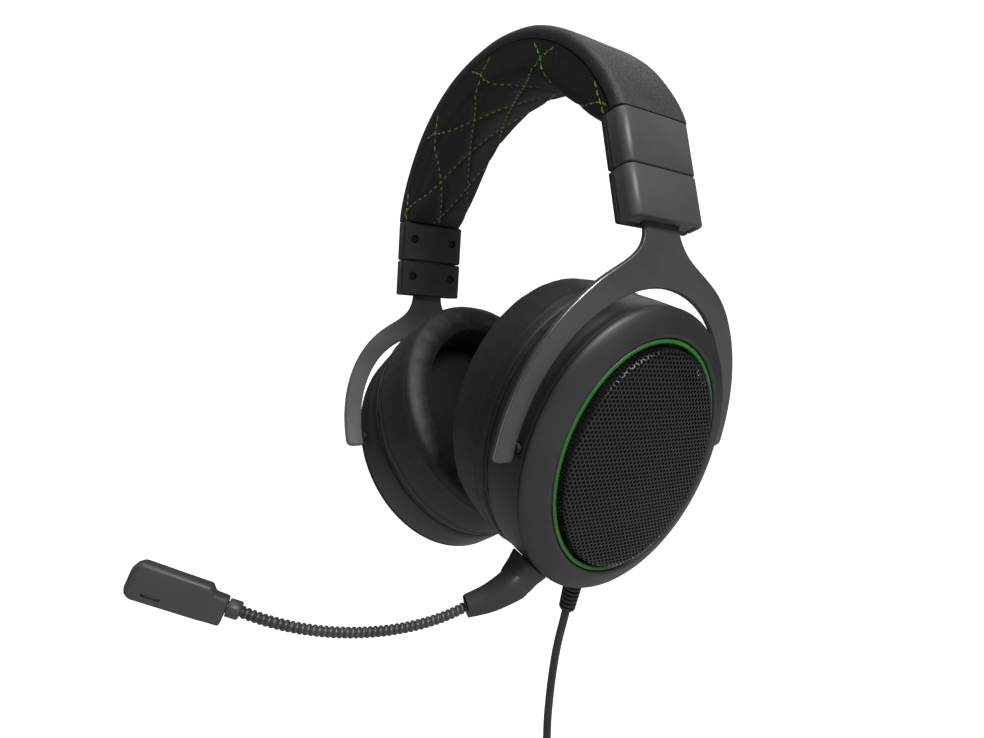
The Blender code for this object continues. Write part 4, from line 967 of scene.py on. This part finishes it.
cushion_leather = make_leatherette("cushion_leatherette", (0.008, 0.008, 0.0083), (0.012, 0.012, 0.0123),
                                   0.0008, 0.35, 0.50)
cushion_back, cushion_front, cushion_wall = -0.0010, -0.0275, 0.0146
cushion_knots = [(-0.0012, cushion_back), (0.0001, cushion_back - 0.0012), (0.0005, cushion_back - 0.0060),
                 (0.0004, cushion_back - 0.0120), (-0.0004, cushion_front + 0.0080),
                 (-0.0015, cushion_front + 0.0035), (-0.0036, cushion_front + 0.0010),
                 (-0.0078, cushion_front), (-0.0118, cushion_front + 0.0008), (-0.0142, cushion_front + 0.0036),
                 (-0.0147, cushion_front + 0.0090), (-0.0144, cushion_back - 0.0080),
                 (-0.0138, cushion_back - 0.0030), (-0.0118, cushion_back)]


def smooth_run(points, steps):
    """Points of a smooth curve through the given ones."""
    known = [Vector(point) for point in points]
    known = [known[0] * 2 - known[1]] + known + [known[-1] * 2 - known[-2]]
    out = []
    for before, here, there, after in zip(known, known[1:], known[2:], known[3:]):
        for step in range(steps):
            t = step / steps
            out.append(0.5 * (2 * here + (there - before) * t
                              + (2 * before - 5 * here + 4 * there - after) * t * t
                              + (3 * here - before - 3 * there + after) * t**3))
    return out + [known[-2]]


def cushion_mesh(seed):
    section = [Vector((x, y, 0)) for x, y in cushion_knots]
    smooth = smooth_run(section, 8)
    rows = []
    steps = 220
    for step in range(steps):
        angle = math.tau * step / steps
        row = []
        for spot in smooth:
            outset, depth = spot.x, spot.y
            seam = math.exp(-((depth - cushion_back + 0.0047) / 0.0006) ** 2) if outset > -0.002 else 0
            if outset > -0.0050:
                seam += math.exp(-((depth - cushion_front - 0.0038) / 0.0006) ** 2)
            gather = math.exp(-((depth - cushion_back + 0.0060) / 0.0035) ** 2) if outset > -0.003 else 0
            face = math.exp(-((depth - cushion_front) / 0.0040) ** 2)
            inner = 1.0 if outset < -0.0105 else 0.0
            around = Vector((math.cos(angle), math.sin(angle), seed))
            ripple = noise.noise(Vector((math.cos(angle) * 14, math.sin(angle) * 14, seed + depth * 60)))
            crease = noise.noise(Vector((math.cos(angle) * 34, math.sin(angle) * 34, seed * 2 + depth * 40)))
            swell = 0.00030 * noise.noise(around * 2.6)
            push = (swell + ripple * (0.00020 + 0.00018 * face + 0.00030 * inner)
                    + crease * 0.00016 * (gather + inner) + 0.00045 * seam)
            wide = outset + (push if outset > -0.008 else -push) * (1 - face)
            row.append(Vector((depth - push * face, *arc_point(wide, wide, angle))))
        rows.append(row)
    return skin(rows, loop=True)


cloth_outset, cloth_back, cloth_bulge = -0.0141, -0.0034, 0.0008
for side, seed in (("left", 3.1), ("right", 8.8)):
    cushion = fit_cup_piece(side, "ear_pad", cushion_mesh(seed), cushion_leather, "ear_cushion",
                            slot="leatherette", sharp=60)
    cloth_rows = [[Vector((cloth_back - cloth_bulge * (1 - share**2),
                           *arc_point(cloth_outset, cloth_outset, math.tau * step / 96) * share))
                   for step in range(96)] for share in (1.0, 0.9, 0.75, 0.55, 0.35, 0.15, 0.02)]
    cloth = fit_cup_piece(side, "driver_cloth", skin(cloth_rows, capped=False), driver_cloth,
                          slot="dark_plastic")


# ---------------------------------------------------------------- controls
# The volume wheel is a knurled rubber disc standing a little out of the left cup's
# rim; the mute button beside it has a dished top.  Both work a small circuit board.

def turned_mesh(profile, place, steps=48, wave=None):
    """A turned shape about the place's x axis from (along, radius) points, closed at both ends."""
    rows = []
    for along, radius in profile:
        row = []
        for step in range(steps):
            angle = math.tau * step / steps
            at = radius + (wave(along, angle) if wave else 0)
            row.append(Vector((along, at * math.cos(angle), at * math.sin(angle))))
        rows.append(row)
    return moved(skin(rows), place)


def wheel_teeth(along, angle):
    return -0.00022 * (1 - abs(math.sin(angle * 30))) if abs(along) < 0.0016 else 0.0


def make_rubber(name, dark, light, roughness, strength):
    return make_moulded(name, dark, light, roughness, (-0.08, 0.10), values={"Sheen Weight": 0.05},
                        spark=0.00035, patch_size=0.014, patch_limits=(0.42, 0.68), strength=strength)


wheel_rubber = make_rubber("wheel_rubber", (0.016, 0.016, 0.016), (0.026, 0.026, 0.026), 0.55, 0.4)
button_plastic = make_plastic("button_plastic", (0.015, 0.015, 0.015), (0.022, 0.022, 0.022), 0.35)
board_green = make_plastic("board_resin", (0.010, 0.075, 0.030), (0.015, 0.095, 0.040), 0.30)
wheel_profile = [(-0.0018, 0.0030), (-0.0018, 0.0072), (-0.0017, 0.0076), (-0.0013, 0.0079), (0.0013, 0.0079),
                 (0.0017, 0.0076), (0.0018, 0.0072), (0.0018, 0.0030)]
fit_piece("knurled_wheel", turned_mesh(wheel_profile, wheel_place, 240, wheel_teeth), wheel_rubber,
          "volume_wheel_body", "volume_wheel", slot="rubber", sharp=60)
button_profile = [(-0.0045, 0.0032), (0.0011, 0.0032), (0.0015, 0.0031), (0.0017, 0.0028), (0.0016, 0.0024),
                  (0.0012, 0.0016), (0.0010, 0.0008), (0.0010, 0.0001)]
fit_piece("mute_cap", turned_mesh(button_profile, button_place), button_plastic,
          "mute_button_body", "mute_button", slot="dark_plastic", sharp=50)
dress_nodes(("circuit_board",), board_green)
dress_nodes(("mic_socket",), button_plastic)


# ---------------------------------------------------------------- microphone
# The boom plugs into the left cup with a moulded elbow on a 3.5 mm jack.  A
# steel gooseneck of wound wire carries a flat plastic capsule, whose thin slot is
# painted as a dark bar for its shade.

mic_plastic = make_plastic("microphone_plastic", (0.040, 0.040, 0.041), (0.050, 0.050, 0.051), 0.44)
elbow_plastic = make_plastic("elbow_plastic", (0.024, 0.024, 0.025), (0.032, 0.032, 0.033), 0.46)
jack_steel = make_steel("jack_steel", (0.70, 0.70, 0.71), 0.2, (3000, 3000, 900))


def framed_loft(sections, exponent, steps=40):
    """Skin soft-cornered sections, each a centre with two half-axes."""
    rows = []
    for centre, half_a, half_b in sections:
        row = []
        for step in range(steps):
            angle = math.tau * step / steps
            ca, sa = math.cos(angle), math.sin(angle)
            row.append(centre + half_a * math.copysign(abs(ca) ** (2 / exponent), ca)
                       + half_b * math.copysign(abs(sa) ** (2 / exponent), sa))
        rows.append(row)
    return skin(rows)


elbow_knots = [(mic_place @ Vector((0.0004, 0, 0)), 0.0070, 0.0064),
               (mic_place @ Vector((0.0010, 0, 0)), 0.0072, 0.0066),
               (mic_place @ Vector((0.0040, 0, 0)), 0.0066, 0.0058),
               (mic_place @ Vector((0.0078, -0.0004, 0.0004)), 0.0062, 0.0054),
               (Vector((0.0365, -0.0315, -0.0527)), 0.0056, 0.0050),
               (Vector((0.0334, -0.0382, -0.0564)), 0.0046, 0.0043),
               (Vector((0.0304, -0.0450, -0.0585)), 0.0037, 0.0036),
               (Vector((0.03022, -0.0455, -0.0586)), 0.0035, 0.0034),
               (Vector((0.03012, -0.0458, -0.05868)), 0.0029, 0.0028)]


def elbow_mesh():
    centres = smooth_run([knot[0] for knot in elbow_knots[1:]], 5)
    sizes = smooth_run([(knot[1], knot[2], 0) for knot in elbow_knots[1:]], 5)
    centres.insert(0, elbow_knots[0][0])
    sizes.insert(0, Vector((elbow_knots[0][1], elbow_knots[0][2], 0)))
    sections = []
    for index, (centre, (wide, thick, _)) in enumerate(zip(centres, sizes)):
        before, after = centres[max(index - 1, 0)], centres[min(index + 1, len(centres) - 1)]
        along = (after - before).normalized()
        face = (cup_outward - along * cup_outward.dot(along)).normalized()
        sections.append((centre, along.cross(face) * wide, face * thick))
    mesh = framed_loft(sections, 2.7)
    flat = mic_place.inverted()
    for vert in mesh.vertices:
        local = flat @ vert.co
        if local.x < 0.0016:
            local.x -= local.y**2 / 0.096
            vert.co = mic_place @ local
    return mesh


fit_piece("mic_elbow_moulding", elbow_mesh(), elbow_plastic, "microphone", "mic_elbow",
          slot="shell_plastic", sharp=50)
dress_nodes(("mic_jack",), jack_steel)

boom_pulls = [Vector((0.0301, -0.0459, -0.0587)), Vector((0.0250, -0.0635, -0.0665)),
              Vector((0.0179, -0.0930, -0.0650)), Vector((0.0127, -0.1160, -0.0515))]


def boom_point(share):
    """Point on the gooseneck's centre line and its direction."""
    rest = 1 - share
    a, b, c, d = boom_pulls
    point = a * rest**3 + b * 3 * rest**2 * share + c * 3 * rest * share**2 + d * share**3
    ahead = (b - a) * rest**2 + (c - b) * 2 * rest * share + (d - c) * share**2
    return point, ahead.normalized()


def boom_mesh(start, end):
    """Part of the wound tube: one round bead in a long screw, with a deep groove between its turns."""
    samples = [boom_point(index / 600)[0] for index in range(601)]
    run = np.concatenate([[0], np.cumsum([(b - a).length for a, b in zip(samples, samples[1:])])])
    first, last = np.interp([start, end], np.linspace(0, 1, 601), run)
    pitch, steps = 0.00178, 28
    rings = int((last - first) / pitch * 10)
    rows = []
    for ring in range(rings + 1):
        at = first + (last - first) * ring / rings
        point, ahead = boom_point(float(np.interp(at, run, np.linspace(0, 1, 601))))
        side = ahead.cross(Vector((0, 0, 1))).normalized()
        up = side.cross(ahead)
        row = []
        for step in range(steps):
            angle = math.tau * step / steps
            turn = (at / pitch - step / steps) % 1
            bead = math.sqrt(max(1 - ((turn - 0.5) / 0.44) ** 2, 0))
            radius = 0.00128 + 0.00056 * bead
            row.append(point + side * radius * math.cos(angle) + up * radius * math.sin(angle))
        rows.append(row)
    return skin(rows)


boom_steel = make_moulded("boom_blackened_steel", (0.055, 0.055, 0.056), (0.080, 0.080, 0.081), 0.42,
                          (-0.08, 0.08), rubbed=(0.26, 0.26, 0.27), metallic=0.55, strength=0.2,
                          depth=0.00003)
for name, low, high, start_body, end_body, bend, nodes in (
        ("boom_wire_low", 0.0, 0.5, "microphone", "boom_middle", 0.25, ("gooseneck_root", "gooseneck_middle")),
        ("boom_wire_high", 0.5, 1.0, "boom_middle", "boom_tip", 0.75, ("gooseneck_tip",))):
    wire = bpy.data.objects.new(name, boom_mesh(low, high))
    wire.data.materials.append(boom_steel)
    bpy.context.collection.objects.link(wire)
    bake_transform(wire)
    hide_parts(*nodes)

capsule_base = boom_pulls[3]
capsule_place = Matrix.Translation(capsule_base) @ Matrix((
    (0.137141, 0.933925, -0.330115), (0.358297, -0.357468, -0.862461), (0.923480, 0.0, 0.383647))).to_4x4()
along_place = capsule_place @ Matrix(((0, 0, 1, 0), (0, 1, 0, 0), (1, 0, 0, 0), (0, 0, 0, 1)))
collar_profile = [(-0.0002, 0.0022), (0.0000, 0.0026), (0.0003, 0.0028), (0.0036, 0.0028), (0.0039, 0.0026),
                  (0.0039, 0.0018), (0.0044, 0.0018)]
fit_piece("capsule_collar", turned_mesh(collar_profile, along_place), mic_plastic,
          "boom_tip", "mic_collar", slot="dark_plastic", sharp=40)


def capsule_mesh():
    """A stepped neck, a flat body and a soft blunt end: low, high and half thickness along the capsule."""
    rows = []
    for along, low, high, thick in ((0.0042, -0.0051, 0.0024, 0.0022), (0.0044, -0.0055, 0.0029, 0.0026),
                                    (0.0048, -0.0056, 0.0031, 0.0027), (0.0086, -0.0056, 0.0033, 0.0028),
                                    (0.0091, -0.0056, 0.0036, 0.0029), (0.0103, -0.0056, 0.0049, 0.0031),
                                    (0.0108, -0.0056, 0.0051, 0.0031), (0.0200, -0.0056, 0.0053, 0.0031),
                                    (0.0305, -0.0056, 0.0056, 0.0031), (0.0314, -0.0054, 0.0055, 0.0030),
                                    (0.0328, -0.0048, 0.0046, 0.0024), (0.0335, -0.0036, 0.0032, 0.0017),
                                    (0.0336, -0.0030, 0.0026, 0.0014)):
        middle, half = (low + high) / 2, (high - low) / 2
        rows.append([capsule_place @ Vector((middle + x, y, along))
                     for x, y in soft_rectangle(half, thick, min(0.0013, thick * 0.6), 7)])
    return skin(rows)


def slot_bar(half_long, half_wide, depth):
    rows = [[Vector((y, level, x)) for x, y in soft_rectangle(half_long, half_wide, half_wide * 0.9, 5)]
            for level in (-depth, depth)]
    return skin(rows)


fit_piece("capsule_moulding", capsule_mesh(), mic_plastic, "boom_tip", "mic_body", "mic_neck",
          slot="shell_plastic", sharp=32)
# Painted shade: a dark bar, a little proud of the capsule's face, stands for the slot's shaded opening; no slot
# is cut.
fit_piece("capsule_slot_painted_shade", moved(slot_bar(0.0029, 0.00042, 0.0003),
                                     capsule_place @ Matrix.Translation((-0.0031, 0.0029, 0.0253))),
          deep_plastic, "boom_tip", slot="dark_plastic")


# ---------------------------------------------------------------- cable
# One rubber-covered cable, 1.74 m long and 3.2 mm thick, hangs from the left cup.
# Its spare length is wound into a coil held by a rubber tie, with the plug below.

cable_rubber = make_rubber("cable_rubber", (0.013, 0.013, 0.013), (0.022, 0.022, 0.022), 0.42, 0.3)
relief_rubber = make_rubber("strain_relief_rubber", (0.012, 0.012, 0.012), (0.024, 0.024, 0.023), 0.55, 0.4)
cable_radius = 0.0016
lead_points = [(0.0282, 0, -0.068359), (0.0259, 0, -0.0742), (0.0227, 0, -0.0822), (0.0202, 0, -0.0900),
               (0.0180, 0, -0.0985), (0.0163, 0, -0.1065), (0.0149, 0, -0.1145), (0.0142, 0, -0.1220),
               (0.01365, 0, -0.1300), (0.0133, -0.0010, -0.13865), (0.0131, -0.0034, -0.14615),
               (0.0130, -0.004875, -0.15215)]
coil_centre = Vector((-0.008763, 0, -0.165059))
coil_pitch, coil_inner = 0.00325, 0.012125
coil_radii = [coil_inner + coil_pitch * number for number in range(4)]
coil_columns = [coil_pitch * (number - 1.5) for number in range(4)]


def coil_path(steps=42):
    """Fifteen turns through sixteen slots, with every step from slot to slot in its own short arc."""
    slots = [(radius, across) for number, across in enumerate(coil_columns)
             for radius in (coil_radii if number % 2 else coil_radii[::-1])]
    points = []
    for index, (here, there) in enumerate(zip(slots, slots[1:])):
        column, row = divmod(index, 4)
        start = 0.02 + 0.135 * ((6 if row < 3 else 5) - 2 * column)
        for step in range(steps):
            turn = step / steps
            share = min(max((turn - start) / 0.13, 0), 1)
            share = share * share * (3 - 2 * share)
            radius, across = (a + (b - a) * share for a, b in zip(here, there))
            points.append(coil_centre + Vector((radius * math.cos(math.tau * turn), across,
                                                -radius * math.sin(math.tau * turn))))
    return points


coil_exit = coil_centre + Vector((coil_radii[-1], coil_columns[-1], 0))
cable_points = smooth_run(lead_points, 6)
cable_points += [Vector((coil_exit.x, coil_columns[0], height)) for height in (-0.1570, -0.1615)]
cable_points += coil_path() + [coil_exit]
cable_points += [Vector((coil_exit.x, coil_exit.y, height))
                 for height in (-0.1700, -0.1740, -0.1780, -0.1840, -0.1912)]
cable_line = bpy.data.curves.new("cable_line", "CURVE")
cable_line.dimensions = "3D"
cable_line.bevel_depth = cable_radius
cable_line.bevel_resolution = 3
cable_line.use_fill_caps = True
run = cable_line.splines.new("POLY")
run.points.add(len(cable_points) - 1)
for spot, point in zip(run.points, cable_points):
    spot.co = (*point, 1)
run.use_smooth = True
cable_line.materials.append(cable_rubber)
cable = bpy.data.objects.new("cable", cable_line)
bpy.context.collection.objects.link(cable)
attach(cable, "cup_left")
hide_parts("cable_lead", "cable_coil", "cable_tail")


# ---------------------------------------------------------------- strain relief, tie and plug
# A ribbed rubber sleeve guards the cable where it leaves the cup.  The plug is a
# nickel-plated 3.5 mm pin with two black rings in a ribbed rubber grip.

relief_profile = [(0.0003, 0.0034), (0.0006, 0.0037)]
for number in range(8):
    along = 0.0016 + number * 0.0018
    radius = 0.0037 - 0.0005 * number / 7
    relief_profile += [(along, radius), (along + 0.0001, radius - 0.0007), (along + 0.0006, radius - 0.0007),
                       (along + 0.0007, radius)]
relief_profile += [(0.0158, 0.0031), (0.0163, 0.0028), (0.0165, 0.0022), (0.0165, 0.0010)]
relief_profile = [(-0.0040, 0.0028), (0.0003, 0.0028)] + relief_profile
fit_piece("relief_sleeve", turned_mesh(relief_profile, relief_place), relief_rubber, "cup_left",
          "strain_relief", slot="rubber", sharp=40)

plug_place = axis_place((coil_exit.x, coil_exit.y, -0.191859), (0, 0, -1), (0, 1, 0))
grip_profile = [(0.0002, 0.0016), (0.0002, 0.0023), (0.0010, 0.0026), (0.0060, 0.0029), (0.0085, 0.0034),
                (0.0098, 0.0037)]
for number in range(5):
    along = 0.0108 + number * 0.0016
    grip_profile += [(along, 0.0037), (along + 0.0002, 0.0034), (along + 0.0006, 0.0034),
                     (along + 0.0008, 0.0037)]
grip_profile += [(0.0210, 0.0037), (0.0216, 0.0036), (0.0220, 0.0032), (0.0220, 0.0010)]
grip = fit_piece("plug_grip", turned_mesh(grip_profile, plug_place), relief_rubber, "cup_left",
                 "plug_body", slot="rubber", sharp=40)
pin_profile = [(0.0223, 0.0005), (0.0223, 0.00175), (0.0343, 0.00175), (0.0350, 0.00120), (0.0355, 0.00155),
               (0.0358, 0.00140), (0.0362, 0.0007), (0.0363, 0.0001)]
pin = fit_piece("plated_pin", turned_mesh(pin_profile, plug_place), jack_steel, "cup_left",
                "plug_pin", slot="steel", sharp=40)
for number, along in enumerate((0.0285, 0.0325)):
    ring_section = [(along, 0.0016), (along, 0.00177), (along + 0.0005, 0.00177), (along + 0.0005, 0.0016)]
    fit_piece(f"pin_ring_{number}", turned_mesh(ring_section, plug_place), deep_plastic,
                               "cup_left", slot="dark_plastic", sharp=40)
dress_nodes(("cable_tie",), relief_rubber, soft_edge=0.0003)


# ---------------------------------------------------------------- setting
# A plain pale floor under the hanging headset, white all round, a strong soft lamp
# on the wearer's left, weaker ones overhead and behind, and the camera.

def make_floor_paint():
    made, tree, shader = new_finish("pale_floor", 0.9)
    place = add_node(tree, "ShaderNodeTexCoord")
    mottle = add_node(tree, "ShaderNodeTexNoise", {"Vector": place.outputs["Object"]}, {"Scale": 3.0})
    tone = blend_colours(tree, mottle.outputs["Fac"], (0.60, 0.60, 0.60), (0.64, 0.64, 0.64))
    tree.links.new(tone, shader.inputs["Base Color"])
    shader.inputs["Emission Color"].default_value = (1, 1, 1, 1)
    seen = add_node(tree, "ShaderNodeLightPath")
    tree.links.new(seen.outputs["Is Camera Ray"], shader.inputs["Emission Strength"])
    return made


floor_height, floor_half = -0.2305, 3
floor_mesh = bpy.data.meshes.new("floor")
floor_mesh.from_pydata([(x * floor_half, y * floor_half, floor_height)
                        for x, y in ((-1, -1), (1, -1), (1, 1), (-1, 1))], [], [(0, 1, 2, 3)])
floor_mesh.materials.append(make_floor_paint())
floor = bpy.data.objects.new("floor", floor_mesh)
bpy.context.collection.objects.link(floor)

world = bpy.data.worlds.new("studio")
bpy.context.scene.world = world
world.use_nodes = True
sky = world.node_tree
sky.nodes.clear()
facing = add_node(sky, "ShaderNodeTexCoord")
height = add_node(sky, "ShaderNodeSeparateXYZ", {"Vector": facing.outputs["Generated"]})
glow = add_node(sky, "ShaderNodeMapRange", {"Value": height.outputs["Z"]},
                {"From Min": -0.4, "From Max": 0.9, "To Min": 0.03, "To Max": 0.20})
soft_light = add_node(sky, "ShaderNodeBackground", {"Strength": glow.outputs["Result"]})
plain_white = add_node(sky, "ShaderNodeBackground", values={"Color": (1, 1, 1, 1), "Strength": 1.3})
seen = add_node(sky, "ShaderNodeLightPath")
both = add_node(sky, "ShaderNodeMixShader", {0: seen.outputs["Is Camera Ray"], 1: soft_light.outputs[0],
                                             2: plain_white.outputs[0]})
add_node(sky, "ShaderNodeOutputWorld", {"Surface": both.outputs[0]})


def add_lamp(name, position, target, size, power):
    data = bpy.data.lights.new(name, "AREA")
    data.shape = "DISK"
    data.size = size
    data.energy = power
    lamp = bpy.data.objects.new(name, data)
    bpy.context.collection.objects.link(lamp)
    lamp.location = position
    lamp.rotation_euler = (Vector(target) - Vector(position)).to_track_quat("-Z", "Y").to_euler()


add_lamp("overhead_softbox", (0.15, -0.10, 1.1), (0, 0, 0.05), 0.7, 3.6)
add_lamp("side_softbox", (1.15, -0.10, 0.80), (0.03, 0.0, 0.05), 0.6, 17)
add_lamp("rim_softbox", (-0.5, 0.8, 0.9), (0, 0, 0.08), 0.5, 0.8)

camera_data = bpy.data.cameras.new("camera")
camera_data.lens = 24.18
camera_data.sensor_width = 36
camera_data.clip_start = 0.01
camera = bpy.data.objects.new("camera", camera_data)
bpy.context.collection.objects.link(camera)
camera_spot = Vector((0.2270, -0.1648, 0.0108))
right = Vector((0.5542, 0.8322, -0.0190)).normalized()
back = right.cross(Vector((0.0521, -0.0119, 0.9986))).normalized()
axes = Matrix((right, back.cross(right).normalized(), back)).transposed()
camera.matrix_world = Matrix.Translation(camera_spot) @ axes.to_4x4()
bpy.context.scene.camera = camera
bpy.context.scene.view_settings.view_transform = "Standard"
